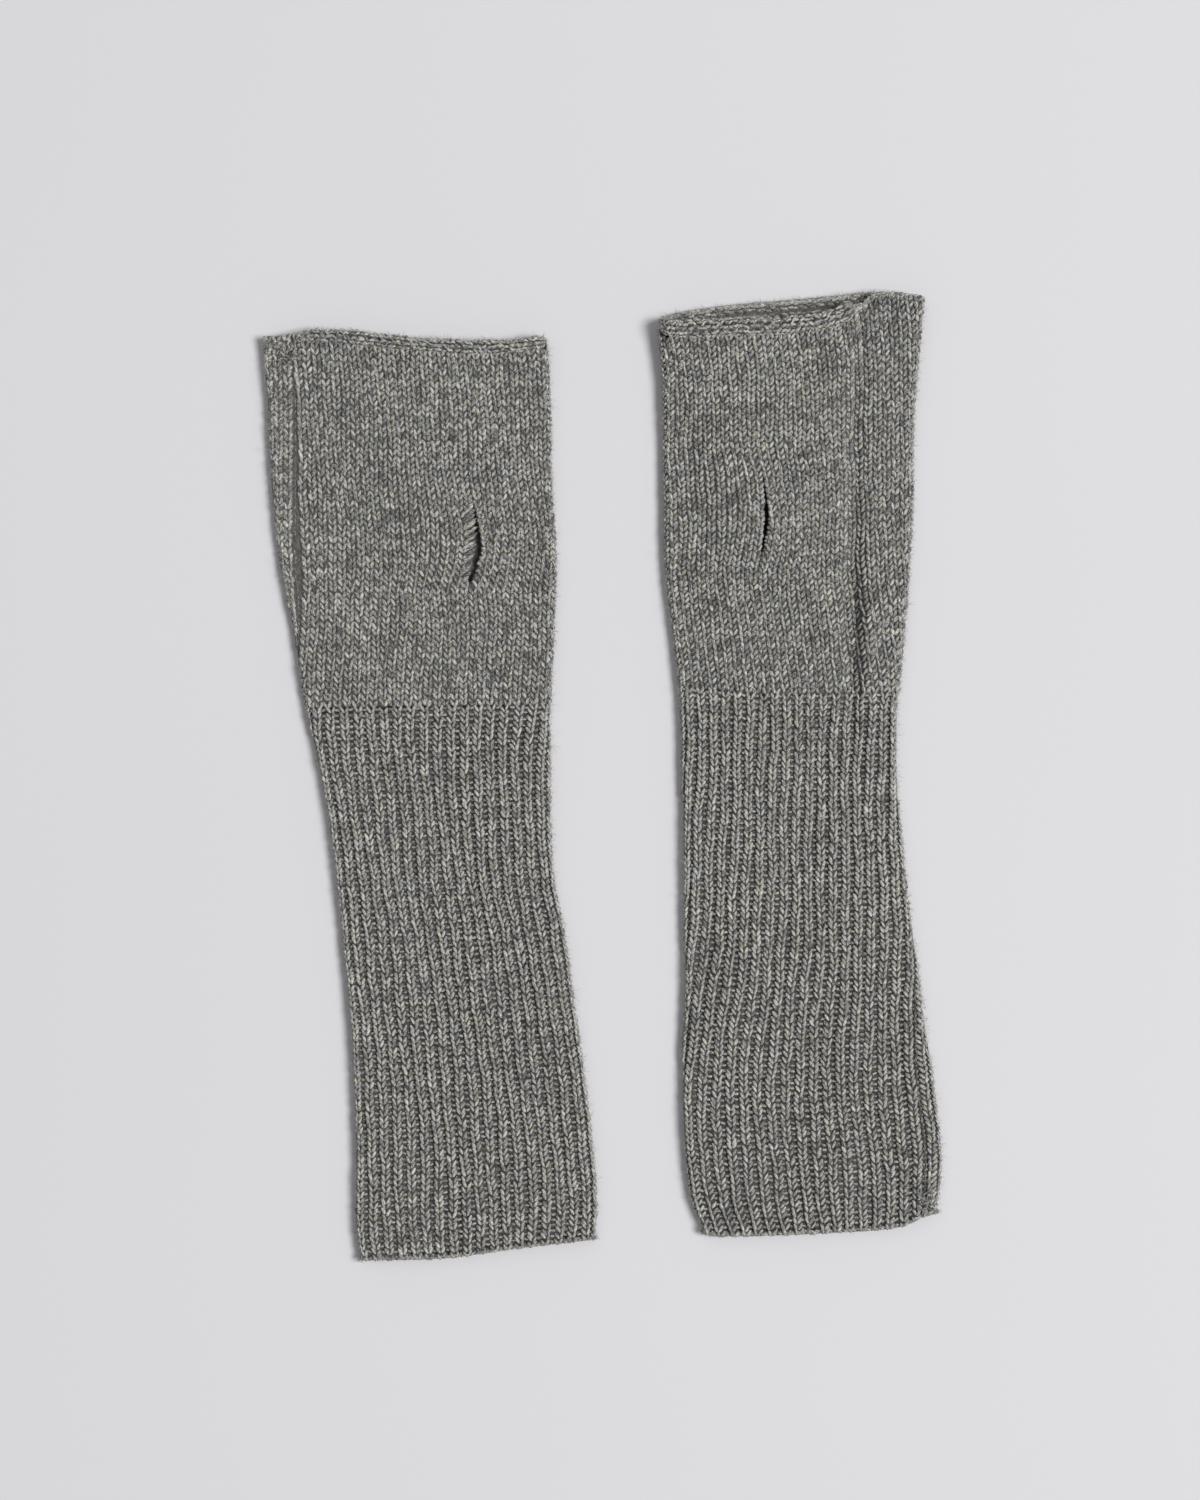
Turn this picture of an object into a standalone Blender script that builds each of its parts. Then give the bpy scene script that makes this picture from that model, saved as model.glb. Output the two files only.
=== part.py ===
"""A pair of knitted arm warmers, lying flat side by side.

Each warmer is one tube of wool knit, flattened so that its front layer lies on its back layer:
a plain-knit hand with a thumb slit, a ribbed cuff for the forearm, the hand's free edge rolled
outwards, and one linked seam that closes the tube along its side. +Y runs towards the fingers,
+Z is up, and the hands' thumbs are at the inner edges of the pair. Lengths below are in mm.
"""

import math

import bmesh
import bpy
from mathutils import Vector

MM = 0.001
GAP = 0.3  # left between pieces that touch
ROLL_GAP = 0.6  # the same at the rolled edge, whose line curves

HAND_WALL = 1.4  # plain knit
CUFF_WALL = 2.2  # rib knit is thicker
FOLD_RADIUS = 3.0  # the widest round that a side fold takes
CROWN_SHARE = 0.3  # share of the width over which a layer rises from its fold

SEAM_WIDTH = 2.4
NEAR_SEAM = 8.0  # stretch beside the seam with its own closer columns
STEP = 2.0  # width over which the free edge steps from its roll to its flat corner

# Columns across each stretch of a tube's section, and stations along each piece.
NEAR_COLUMNS = 4
CORNER_COLUMNS = 3
FRONT_COLUMNS = 13
FOLD_COLUMNS = 6
BACK_COLUMNS = 6
SEAM_FOLD_COLUMNS = 5
HAND_STATIONS = 10
CUFF_STATIONS = 12
ROLL_SIDES = 10
SLIT_STATIONS = 8
CUTTER_REACH = 10.0  # how far the slit's cutter stands above the cloth
SHARP_DEGREES = 40.0  # edges that turn more than this are shaded sharp

KNIT_COLOUR = (0.20, 0.195, 0.18, 1.0)
SEAM_COLOUR = (0.13, 0.125, 0.12, 1.0)

SECTION_COLUMNS = ("y", "left", "right", "lift", "height")
LINE_COLUMNS = ("x", "y")
RIM_COLUMNS = ("x", "front", "back")
SEAM_COLUMNS = ("y", "round")

# "round" is the way round the section from the seam side's outermost point, over the front layer.
WARMERS = {
    "left": {
        "seam_side": -1,
        "corner": None,
        "sections": [
            (142, -109.8, -16.6, 2.6, 3.8),
            (122, -108.6, -15.8, 0.3, 5.0),
            (97, -107.3, -15.3, 0.0, 5.4),
            (71, -104.8, -14.0, 0.0, 5.2),
            (50, -100.7, -14.4, 0.0, 5.2),
            (24, -96.0, -15.6, 0.0, 5.4),
            (-8, -89.4, -15.7, 0.0, 5.8),
            (-34, -85.8, -14.7, 0.0, 6.0),
            (-53, -83.7, -11.2, 0.0, 6.0),
            (-86, -81.0, -6.7, 0.0, 6.2),
            (-118, -79.7, -2.8, 0.0, 6.2),
            (-143, -79.8, -0.8, 0.0, 6.0),
            (-156, -78.0, -1.6, 0.0, 5.6),
        ],
        "rim": [
            (-110, 140.3, 139.9),
            (-102, 140.6, 140.2),
            (-96, 142.2, 141.0),
            (-83, 142.0, 140.2),
            (-65, 140.1, 139.0),
            (-49, 139.0, 138.4),
            (-33, 138.8, 138.4),
            (-16, 140.4, 140.0),
        ],
        "waist": [(-96, 22.5), (-15, 23.5)],
        "hem": [(-79, -156.8), (-50, -155.9), (-25, -152.6), (-1, -149.8)],
        "seam": [(142, 11.6), (103, 10.4), (57, 5.7), (44, 3.0), (24, -1.0), (0, -3.0), (-156, -3.0)],
        "roll": {"width": 5.0, "height": 4.2, "mouth": 9.0},
        "slit": {"x": -40.8, "y": 75.4, "length": 27.6, "width": 2.6, "bow": 2.4, "lean": 1.8},
        "trough": None,
    },
    "right": {
        "seam_side": 1,
        "corner": 18.5,
        "sections": [
            (152, 18.3, 105.2, 2.6, 7.8),
            (136, 19.8, 103.8, 1.4, 9.4),
            (112, 20.0, 102.0, 0.0, 10.6),
            (88, 20.3, 101.8, 0.0, 10.4),
            (68, 20.8, 100.8, 0.0, 9.0),
            (44, 23.3, 98.9, 0.0, 7.2),
            (20, 25.6, 96.8, 0.0, 6.2),
            (-7, 26.1, 97.0, 0.0, 6.0),
            (-40, 26.6, 100.3, 0.0, 6.0),
            (-72, 26.9, 104.2, 0.0, 6.2),
            (-105, 26.1, 108.4, 0.0, 6.2),
            (-128, 27.2, 110.8, 0.0, 6.2),
            (-139, 29.0, 110.4, 0.0, 6.0),
            (-149, 33.4, 109.4, 0.0, 5.8),
        ],
        "rim": [
            (18, 144.2, 145.4),
            (27, 144.2, 147.6),
            (44, 144.9, 150.0),
            (62, 145.3, 151.5),
            (74, 147.2, 152.6),
            (84, 151.4, 153.7),
            (92, 153.7, 154.0),
            (105, 152.4, 152.4),
        ],
        "waist": [(26, 29.5), (52, 27.0), (97, 27.5)],
        "hem": [(30, -147.4), (38, -148.9), (85, -147.2), (98, -145.6), (104, -142.8), (110, -141.4)],
        "seam": [(152, -3.0), (20, -3.0), (-50, 1.0), (-84, 5.5), (-105, 7.4), (-149, 7.0)],
        "roll": {"width": 6.2, "height": 4.2, "mouth": 13.0},
        "slit": {"x": 52.6, "y": 83.1, "length": 27.2, "width": 1.8, "bow": 1.7, "lean": 1.5},
        "trough": {"x": 83.0, "low": 18.0, "high": 146.0, "middle": 52.0, "depth": 2.6, "width": 4.5},
    },
}


def remove_everything():
    for obj in list(bpy.data.objects):
        bpy.data.objects.remove(obj)


def smooth_read(rows, columns, at, column):
    """The named column of a table at a value of its first column, by smooth (Hermite) interpolation."""
    rows = sorted(rows)
    place = columns.index(column)
    keys = [row[0] for row in rows]
    values = [row[place] for row in rows]
    at = min(max(at, keys[0]), keys[-1])
    i = max(k for k in range(len(keys) - 1) if keys[k] <= at)

    def slope(k):
        low, high = max(k - 1, 0), min(k + 1, len(keys) - 1)
        return (values[high] - values[low]) / (keys[high] - keys[low])

    span = keys[i + 1] - keys[i]
    t = (at - keys[i]) / span
    rise = t * t * (3 - 2 * t)
    start_bend = t * (1 - t) ** 2 * span * slope(i)
    end_bend = t * t * (t - 1) * span * slope(i + 1)
    return values[i] + (values[i + 1] - values[i]) * rise + start_bend + end_bend


def ease(t):
    t = min(max(t, 0.0), 1.0)
    return t * t * (3 - 2 * t)


def lerp(a, b, t):
    return a + (b - a) * t


class Ring:
    """One section of a flattened tube. Its outline is walked from the outermost point of the seam
    side, over the front layer, round the far fold and back along the flat back layer."""

    def __init__(self, warmer, y, left, right, lift, height, fold_radius):
        self.warmer = warmer
        self.y = y
        self.left = left
        self.right = right
        self.lift = max(lift, 0.0)
        self.height = height
        self.radius = min(height / 2, fold_radius)
        self.flat = right - left - 2 * self.radius
        self.quarter = math.pi * self.radius / 2
        self.far_fold = self.quarter + self.flat
        self.back = self.far_fold + 2 * self.quarter
        self.near_fold = self.back + self.flat
        self.length = self.near_fold + self.quarter

    def round_to(self, inset):
        """The way round to the point of the front layer that is inset mm from the seam side's edge."""
        return self.quarter + inset - self.radius

    def x(self, inset):
        return self.left + inset if self.warmer["seam_side"] < 0 else self.right - inset

    def crown(self, inset):
        """How far the front layer stands above the top of its folds."""
        width = self.right - self.left
        from_fold = min(inset, width - inset) - self.radius
        risen = (self.height - 2 * self.radius) * ease(from_fold / (CROWN_SHARE * width))
        return risen - self.trough(self.x(inset))

    def trough(self, x):
        fold = self.warmer["trough"]
        if fold is None:
            return 0.0
        into = ease((self.y - fold["low"]) / (fold["middle"] - fold["low"]))
        out = ease((fold["high"] - self.y) / (fold["high"] - fold["middle"]))
        return fold["depth"] * into * out * math.exp(-(((x - fold["x"]) / fold["width"]) ** 2))

    def at(self, way, depth):
        """(x, z, share of the front layer) at way mm round the outline and depth mm into the cloth."""
        way %= self.length
        r = self.radius
        inner = r - depth
        width = self.right - self.left
        if way < self.quarter:
            turn = way / r
            inset, z, share = r - inner * math.cos(turn), r + inner * math.sin(turn), (1 + math.sin(turn)) / 2
        elif way < self.far_fold:
            inset = r + way - self.quarter
            z, share = 2 * r - depth + self.crown(inset), 1.0
        elif way < self.back:
            turn = (way - self.far_fold) / r
            inset = width - r + inner * math.sin(turn)
            z, share = r + inner * math.cos(turn), (1 + math.cos(turn)) / 2
        elif way < self.near_fold:
            inset, z, share = width - r - (way - self.back), depth, 0.0
        else:
            turn = (way - self.near_fold) / r
            inset, z, share = r - inner * math.sin(turn), r - inner * math.cos(turn), (1 - math.cos(turn)) / 2
        return self.x(inset), self.lift + z, share


def ring_at(warmer, y, fold_radius=FOLD_RADIUS):
    sections = warmer["sections"]
    sizes = [smooth_read(sections, SECTION_COLUMNS, y, name) for name in SECTION_COLUMNS[1:]]
    return Ring(warmer, y, *sizes, fold_radius)


def rim_y(warmer, x, share):
    """The middle line of the rolled edge, on the front layer at share 1 and on the back one at 0."""
    front = smooth_read(warmer["rim"], RIM_COLUMNS, x, "front")
    back = smooth_read(warmer["rim"], RIM_COLUMNS, x, "back")
    return lerp(back, front, share)


def waist_y(warmer, x):
    return smooth_read(warmer["waist"], LINE_COLUMNS, x, "y")


def hem_y(warmer, x):
    return smooth_read(warmer["hem"], LINE_COLUMNS, x, "y")


def seam_way(warmer, y):
    return smooth_read(warmer["seam"], SEAM_COLUMNS, y, "round")


def panel_columns(ring):
    """Ways round a section for a panel's columns, from one side of the seam to the other, each with
    True where the free edge stays flat past its corner instead of rolling."""
    warmer = ring.warmer
    seam = seam_way(warmer, ring.y)
    start, end = seam + SEAM_WIDTH / 2, ring.length + seam - SEAM_WIDTH / 2
    stretches = [(start + NEAR_SEAM, NEAR_COLUMNS, warmer["corner"] is not None)]
    if warmer["corner"] is not None:
        corner = ring.round_to(warmer["corner"])
        stretches.append((corner - STEP / 2, CORNER_COLUMNS, True))
        stretches.append((corner + STEP / 2, 1, False))
    stretches.append((ring.far_fold, FRONT_COLUMNS, False))
    stretches.append((ring.back, FOLD_COLUMNS, False))
    stretches.append((ring.near_fold - STEP, BACK_COLUMNS, False))
    stretches.append((ring.near_fold, 1, True))
    stretches.append((end, SEAM_FOLD_COLUMNS, True))
    columns = [(start, warmer["corner"] is not None)]
    for stop, count, flat_edge in stretches:
        begin = columns[-1][0]
        columns += [(lerp(begin, stop, k / count), flat_edge) for k in range(1, count + 1)]
    return columns


def hand_y(warmer, x, share, along, flat_edge):
    half_roll = warmer["roll"]["width"] / 2
    reach = half_roll if flat_edge else -half_roll - ROLL_GAP
    return lerp(waist_y(warmer, x) + GAP / 2, rim_y(warmer, x, share) + reach, along)


def cuff_y(warmer, x, share, along, flat_edge):
    return lerp(hem_y(warmer, x), waist_y(warmer, x) - GAP / 2, along)


def two_triangles(builder, a, b, c, d):
    """A quadrilateral as two triangles that share the edge from a to c."""
    builder.faces.new((a, b, c))
    builder.faces.new((a, c, d))


def solid_from_grid(name, outer, inner, material):
    """One closed body between two equal grids of points. Walls that face each other across a seam
    are split along the same diagonals, so that they stay apart where they twist."""
    builder = bmesh.new()
    top, under = (
        [[builder.verts.new(Vector(point) * MM) for point in row] for row in grid] for grid in (outer, inner)
    )
    for i in range(len(top) - 1):
        for j in range(len(top[0]) - 1):
            two_triangles(builder, top[i][j], top[i][j + 1], top[i + 1][j + 1], top[i + 1][j])
            two_triangles(builder, under[i][j], under[i + 1][j], under[i + 1][j + 1], under[i][j + 1])
        two_triangles(builder, top[i][0], top[i + 1][0], under[i + 1][0], under[i][0])
        two_triangles(builder, top[i][-1], under[i][-1], under[i + 1][-1], top[i + 1][-1])
    for j in range(len(top[0]) - 1):
        two_triangles(builder, top[0][j + 1], top[0][j], under[0][j], under[0][j + 1])
        two_triangles(builder, top[-1][j], top[-1][j + 1], under[-1][j + 1], under[-1][j])
    return finished_object(name, builder, material)


def finished_object(name, mesh_builder, material):
    bmesh.ops.recalc_face_normals(mesh_builder, faces=mesh_builder.faces)
    mesh = bpy.data.meshes.new(name)
    mesh_builder.to_mesh(mesh)
    mesh_builder.free()
    mesh.shade_smooth()
    mesh.set_sharp_from_angle(angle=math.radians(SHARP_DEGREES))
    mesh.materials.append(material)
    obj = bpy.data.objects.new(name, mesh)
    bpy.context.scene.collection.objects.link(obj)
    return obj


def knit_material(name, colour):
    material = bpy.data.materials.new(name)
    material.use_nodes = True
    shader = material.node_tree.nodes["Principled BSDF"]
    shader.inputs["Base Color"].default_value = colour
    shader.inputs["Roughness"].default_value = 0.95
    shader.inputs["Metallic"].default_value = 0.0
    material.diffuse_color = colour
    return material


def seam_columns(ring):
    half = SEAM_WIDTH / 2 - GAP
    seam = seam_way(ring.warmer, ring.y)
    flat_edge = ring.warmer["corner"] is not None
    return [(seam - half, flat_edge), (seam + half, flat_edge)]


def rows_of_points(warmer, piece, columns_of, depth):
    """Points of a piece's length at one depth: a row for each station, a point for each column."""
    low, high, stations, y_of = piece
    grid = []
    for i in range(stations):
        along = i / (stations - 1)
        ring = ring_at(warmer, lerp(low, high, along))
        row = []
        for way, flat_edge in columns_of(ring):
            x, z, share = ring.at(way, depth)
            row.append((x, y_of(warmer, x, share, along, flat_edge), z))
        grid.append(row)
    return grid


def hand_piece(warmer):
    top = warmer["sections"][0]
    return waist_y(warmer, (top[1] + top[2]) / 2), top[0], HAND_STATIONS, hand_y


def cuff_piece(warmer):
    hem = warmer["sections"][-1]
    return hem[0], waist_y(warmer, (hem[1] + hem[2]) / 2), CUFF_STATIONS, cuff_y


def make_hand(side, warmer, material):
    piece = hand_piece(warmer)
    grids = [rows_of_points(warmer, piece, panel_columns, depth) for depth in (0.0, HAND_WALL)]
    hand = solid_from_grid(side + "_hand", *grids, material)
    cut_thumb_slit(side, warmer, hand)


def make_cuff(side, warmer, material):
    piece = cuff_piece(warmer)
    grids = [rows_of_points(warmer, piece, panel_columns, depth) for depth in (0.0, CUFF_WALL)]
    solid_from_grid(side + "_cuff", *grids, material)


def make_seam(side, warmer, material):
    """The strip of linked stitches that closes the tube from its hem to its free edge."""
    grids = []
    for cuff_depth, hand_depth in ((0.0, 0.0), (CUFF_WALL, HAND_WALL)):
        cuff_rows = rows_of_points(warmer, cuff_piece(warmer), seam_columns, cuff_depth)
        hand_rows = rows_of_points(warmer, hand_piece(warmer), seam_columns, hand_depth)
        grids.append(cuff_rows + hand_rows)
    solid_from_grid(side + "_side_seam", *grids, material)


def slit_edge(slit, edge_side):
    """Points of one lip of the slit, from its lower end to its upper one, both ends left out."""
    points = []
    for i in range(1, SLIT_STATIONS):
        t = 2 * i / SLIT_STATIONS - 1
        open_by = slit["bow"] + edge_side * slit["width"] / 2
        x = slit["x"] + t * slit["lean"] / 2 + (1 - t * t) * open_by - slit["bow"] / 2
        points.append((x, slit["y"] + t * slit["length"] / 2))
    return points


def slit_end(slit, end):
    return slit["x"] + end * slit["lean"] / 2 - slit["bow"] / 2, slit["y"] + end * slit["length"] / 2


def cut_thumb_slit(side, warmer, hand):
    slit = warmer["slit"]
    outline = [slit_end(slit, -1), *slit_edge(slit, 1), slit_end(slit, 1), *reversed(slit_edge(slit, -1))]
    ring = ring_at(warmer, slit["y"])
    inside, above = ring.height / 2, ring.height + CUTTER_REACH
    cutter_mesh = bmesh.new()
    base = [cutter_mesh.verts.new(Vector((x, y, inside)) * MM) for x, y in outline]
    top = [cutter_mesh.verts.new(Vector((x, y, above)) * MM) for x, y in outline]
    cutter_mesh.faces.new(base)
    cutter_mesh.faces.new(top)
    for i in range(len(outline)):
        k = (i + 1) % len(outline)
        cutter_mesh.faces.new((base[i], base[k], top[k], top[i]))
    cutter = finished_object(side + "_slit_cutter", cutter_mesh, hand.data.materials[0])
    cutter.hide_render = True
    cutter.display_type = "WIRE"
    cut = hand.modifiers.new("thumb slit", "BOOLEAN")
    cut.operation = "DIFFERENCE"
    cut.object = cutter


def make_roll(side, warmer, material):
    """The free edge of the hand, curled outwards: along the front, round the far fold and back."""
    roll = warmer["roll"]
    top = warmer["sections"][0]
    ring = Ring(warmer, top[0], top[1], top[2], 0.0, roll["mouth"], roll["mouth"] / 2)
    if warmer["corner"] is None:
        start = seam_way(warmer, top[0]) + SEAM_WIDTH / 2 + ring.round_to(0) - ring_at(warmer, top[0]).round_to(0)
    else:
        start = ring.round_to(warmer["corner"]) + STEP / 2
    stops = [(ring.far_fold, FRONT_COLUMNS), (ring.back, FOLD_COLUMNS), (ring.near_fold, BACK_COLUMNS)]
    ways = [start]
    for stop, count in stops:
        begin = ways[-1]
        ways += [lerp(begin, stop, k / count) for k in range(1, count + 1)]
    builder = bmesh.new()
    loops = []
    for way in ways:
        x_mid, z_mid, share = ring.at(way, roll["height"] / 2)
        x_out, z_out, _ = ring.at(way, 0.0)
        y_mid = rim_y(warmer, x_mid, share)
        loop = []
        for k in range(ROLL_SIDES):
            turn = 2 * math.pi * k / ROLL_SIDES
            out, along = math.sin(turn), math.cos(turn) * roll["width"] / 2
            point = (lerp(x_mid, x_out, out), y_mid + along, lerp(z_mid, z_out, out))
            loop.append(builder.verts.new(Vector(point) * MM))
        loops.append(loop)
    for low, high in zip(loops, loops[1:]):
        for k in range(ROLL_SIDES):
            n = (k + 1) % ROLL_SIDES
            builder.faces.new((low[k], low[n], high[n], high[k]))
    builder.faces.new(loops[0])
    builder.faces.new(loops[-1])
    return finished_object(side + "_rolled_edge", builder, material)


def centre_pair(objects):
    """Moves the pair so that the middle of its footprint is over the origin."""
    bpy.context.view_layer.update()
    corners = [obj.matrix_world @ Vector(corner) for obj in objects for corner in obj.bound_box]
    for axis in (0, 1):
        low = min(corner[axis] for corner in corners)
        high = max(corner[axis] for corner in corners)
        for obj in objects:
            obj.location[axis] -= (low + high) / 2


def main():
    remove_everything()
    for side, warmer in WARMERS.items():
        for piece, maker, colour in (
            ("hand", make_hand, KNIT_COLOUR),
            ("cuff", make_cuff, KNIT_COLOUR),
            ("rolled_edge", make_roll, KNIT_COLOUR),
            ("side_seam", make_seam, SEAM_COLOUR),
        ):
            maker(side, warmer, knit_material(f"{side} {piece} knit", colour))
    centre_pair([obj for obj in bpy.data.objects if obj.type == "MESH"])


main()
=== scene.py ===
"""The looks of a pair of knitted arm warmers, lying flat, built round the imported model.

Each warmer is a thin hollow shell of cloth, as its solid is, with its stitches on it as closed
strands of yarn: two legs to a stitch, column by column and course by course. Tables and lengths are
in mm, and points become metres where a mesh is made.
"""

import math

import bpy
import numpy as np
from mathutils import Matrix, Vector


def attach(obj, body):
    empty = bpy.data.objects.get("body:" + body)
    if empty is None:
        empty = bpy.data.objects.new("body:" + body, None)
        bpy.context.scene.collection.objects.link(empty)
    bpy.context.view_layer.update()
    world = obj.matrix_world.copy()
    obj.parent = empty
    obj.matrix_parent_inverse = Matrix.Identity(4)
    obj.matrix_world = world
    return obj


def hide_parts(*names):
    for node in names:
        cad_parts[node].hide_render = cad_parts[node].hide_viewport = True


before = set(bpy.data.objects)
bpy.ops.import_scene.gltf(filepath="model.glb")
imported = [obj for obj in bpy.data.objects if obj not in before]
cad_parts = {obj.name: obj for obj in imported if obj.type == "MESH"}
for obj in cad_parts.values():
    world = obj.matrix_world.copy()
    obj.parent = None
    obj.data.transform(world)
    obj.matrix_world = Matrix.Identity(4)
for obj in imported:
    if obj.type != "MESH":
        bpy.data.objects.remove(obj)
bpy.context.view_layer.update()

MM = 0.001
PAIR_MIDDLE = (0.50, 0.11)  # the point of the tables that the frame has at its origin

# The sizes and sections of the solids, repeated from the part's source. A slit's "lip" is only here:
# how wide the strip is that curls over beside it.
FOLD_RADIUS = 3.0
CROWN_SHARE = 0.3
SEAM_WIDTH = 2.4
SECTION_COLUMNS = ("y", "left", "right", "lift", "height")
LINE_COLUMNS = ("x", "y")
RIM_COLUMNS = ("x", "front", "back")
SEAM_COLUMNS = ("y", "round")
WARMERS = {
    "left": {
        "seam_side": -1,
        "corner": None,
        "sections": [
            (142, -109.8, -16.6, 2.6, 3.8),
            (122, -108.6, -15.8, 0.3, 5.0),
            (97, -107.3, -15.3, 0.0, 5.4),
            (71, -104.8, -14.0, 0.0, 5.2),
            (50, -100.7, -14.4, 0.0, 5.2),
            (24, -96.0, -15.6, 0.0, 5.4),
            (-8, -89.4, -15.7, 0.0, 5.8),
            (-34, -85.8, -14.7, 0.0, 6.0),
            (-53, -83.7, -11.2, 0.0, 6.0),
            (-86, -81.0, -6.7, 0.0, 6.2),
            (-118, -79.7, -2.8, 0.0, 6.2),
            (-143, -79.8, -0.8, 0.0, 6.0),
            (-156, -78.0, -1.6, 0.0, 5.6),
        ],
        "rim": [
            (-110, 140.3, 139.9),
            (-102, 140.6, 140.2),
            (-96, 142.2, 141.0),
            (-83, 142.0, 140.2),
            (-65, 140.1, 139.0),
            (-49, 139.0, 138.4),
            (-33, 138.8, 138.4),
            (-16, 140.4, 140.0),
        ],
        "waist": [(-96, 22.5), (-15, 23.5)],
        "hem": [(-79, -156.8), (-50, -155.9), (-25, -152.6), (-1, -149.8)],
        "seam": [(142, 11.6), (103, 10.4), (57, 5.7), (44, 3.0), (24, -1.0), (0, -3.0), (-156, -3.0)],
        "roll": {"width": 5.0, "height": 4.2, "mouth": 9.0},
        "slit": {"x": -40.8, "y": 75.4, "length": 27.6, "width": 2.6, "bow": 2.4, "lean": 1.8, "lip": 4.2},
        "trough": None,
    },
    "right": {
        "seam_side": 1,
        "corner": 18.5,
        "sections": [
            (152, 18.3, 105.2, 2.6, 7.8),
            (136, 19.8, 103.8, 1.4, 9.4),
            (112, 20.0, 102.0, 0.0, 10.6),
            (88, 20.3, 101.8, 0.0, 10.4),
            (68, 20.8, 100.8, 0.0, 9.0),
            (44, 23.3, 98.9, 0.0, 7.2),
            (20, 25.6, 96.8, 0.0, 6.2),
            (-7, 26.1, 97.0, 0.0, 6.0),
            (-40, 26.6, 100.3, 0.0, 6.0),
            (-72, 26.9, 104.2, 0.0, 6.2),
            (-105, 26.1, 108.4, 0.0, 6.2),
            (-128, 27.2, 110.8, 0.0, 6.2),
            (-139, 29.0, 110.4, 0.0, 6.0),
            (-149, 33.4, 109.4, 0.0, 5.8),
        ],
        "rim": [
            (18, 144.2, 145.4),
            (27, 144.2, 147.6),
            (44, 144.9, 150.0),
            (62, 145.3, 151.5),
            (74, 147.2, 152.6),
            (84, 151.4, 153.7),
            (92, 153.7, 154.0),
            (105, 152.4, 152.4),
        ],
        "waist": [(26, 29.5), (52, 27.0), (97, 27.5)],
        "hem": [(30, -147.4), (38, -148.9), (85, -147.2), (98, -145.6), (104, -142.8), (110, -141.4)],
        "seam": [(152, -3.0), (20, -3.0), (-50, 1.0), (-84, 5.5), (-105, 7.4), (-149, 7.0)],
        "roll": {"width": 6.2, "height": 4.2, "mouth": 13.0},
        "slit": {"x": 52.6, "y": 83.1, "length": 27.2, "width": 1.8, "bow": 1.7, "lean": 1.5, "lip": 0.0},
        "trough": {"x": 83.0, "low": 18.0, "high": 146.0, "middle": 52.0, "depth": 2.6, "width": 4.5},
    },
}

# Soft creases beside the solids' own forms: a trough has a depth above 0, and a ridge one below 0.
# "turn" is how many degrees its long axis leans from +Y towards +X.
CREASE_COLUMNS = ("x", "y", "length", "width", "depth", "turn")
CREASES = {
    ("left", "front"): [
        (-84.0, 124.0, 34.0, 9.0, 0.35, 38.0),
        (-56.0, 96.0, 52.0, 12.0, -0.35, -24.0),
        (-30.0, 112.0, 30.0, 7.0, 0.25, 15.0),
        (-78.0, 56.0, 44.0, 10.0, 0.35, -16.0),
        (-34.0, 40.0, 32.0, 8.0, -0.30, 22.0),
        (-62.0, 22.0, 6.0, 26.0, 0.30, 0.0),
        (-48.0, -38.0, 60.0, 9.0, 0.30, -12.0),
        (-26.0, -84.0, 46.0, 8.0, -0.25, -9.0),
        (-62.0, -112.0, 38.0, 10.0, 0.30, 6.0),
    ],
    ("left", "back"): [
        (-62.0, 88.0, 60.0, 8.0, 0.45, -30.0),
        (-44.0, 4.0, 42.0, 7.0, 0.35, 18.0),
        (-50.0, -92.0, 56.0, 9.0, 0.45, -8.0),
    ],
    ("right", "front"): [
        (44.0, 122.0, 38.0, 10.0, 0.40, -18.0),
        (66.0, 106.0, 46.0, 9.0, -0.40, 12.0),
        (81.0, 44.0, 44.0, 5.0, 2.20, 0.0),
        (81.6, 78.0, 60.0, 4.6, 2.20, 1.0),
        (83.0, 124.0, 56.0, 7.5, 1.80, 5.0),
        (86.6, 45.0, 50.0, 5.6, -3.00, 0.0),
        (92.0, 100.0, 80.0, 11.0, -0.90, 4.0),
        (82.6, 12.0, 30.0, 5.0, 1.10, -4.0),
        (38.0, 62.0, 40.0, 8.0, 0.35, 14.0),
        (62.0, 44.0, 36.0, 9.0, -0.35, -22.0),
        (58.0, 26.0, 6.0, 24.0, 0.30, 0.0),
        (74.0, -26.0, 52.0, 8.0, 0.35, 5.0),
        (46.0, -72.0, 44.0, 9.0, -0.25, 8.0),
        (88.0, -104.0, 40.0, 8.0, 0.35, 10.0),
    ],
    ("right", "back"): [
        (56.0, 96.0, 54.0, 9.0, 0.50, 24.0),
        (72.0, 12.0, 44.0, 8.0, 0.40, -14.0),
        (64.0, -84.0, 58.0, 8.0, 0.45, 10.0),
    ],
}

# The knit.
WALE = 2.9  # width of a plain-knit column
COURSE = 2.0  # height of a plain-knit row
BACK_WALES = 34  # the most columns that a back layer has
RIBS = 38  # round a cuff
RIB_PITCH = 4.1  # the width of the rib that RIB_LEG is drawn for
RIB_COURSE = 1.87
HAND_DEPTH = 0.95  # from the solid's surface in to the cloth under the stitches
HAND_WALL = 0.75
CREST_DEPTH = 0.6  # the same at the top of a rib
VALLEY_DEPTH = 1.75  # and between two ribs
VALLEY_SPREAD = 0.35  # how much shallower the shallowest valley is, as a share
CUFF_WALL = 0.6
RIB_RISE = 9.0  # the length over which plain knit turns into ribs at the waist
LAYERS = 3.7  # no crease presses the front lower than this, where it meets the back layer
REST = 0.03  # no cloth is lower than this
FRONT_UNDER_ROLL = 0.75  # how far the front layer runs on under its rolled edge
BACK_UNDER_ROLL = 4.6
RIM_RISE = 8.0  # the length over which the front layer rises to meet its rolled edge
FLAT_REACH = 0.9  # share of the roll's half width by which the flat corner runs past its middle line
UNDER_LIFT = 0.14  # the back layer's yarn is set in, so that it rests on the ground and not in it

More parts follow.
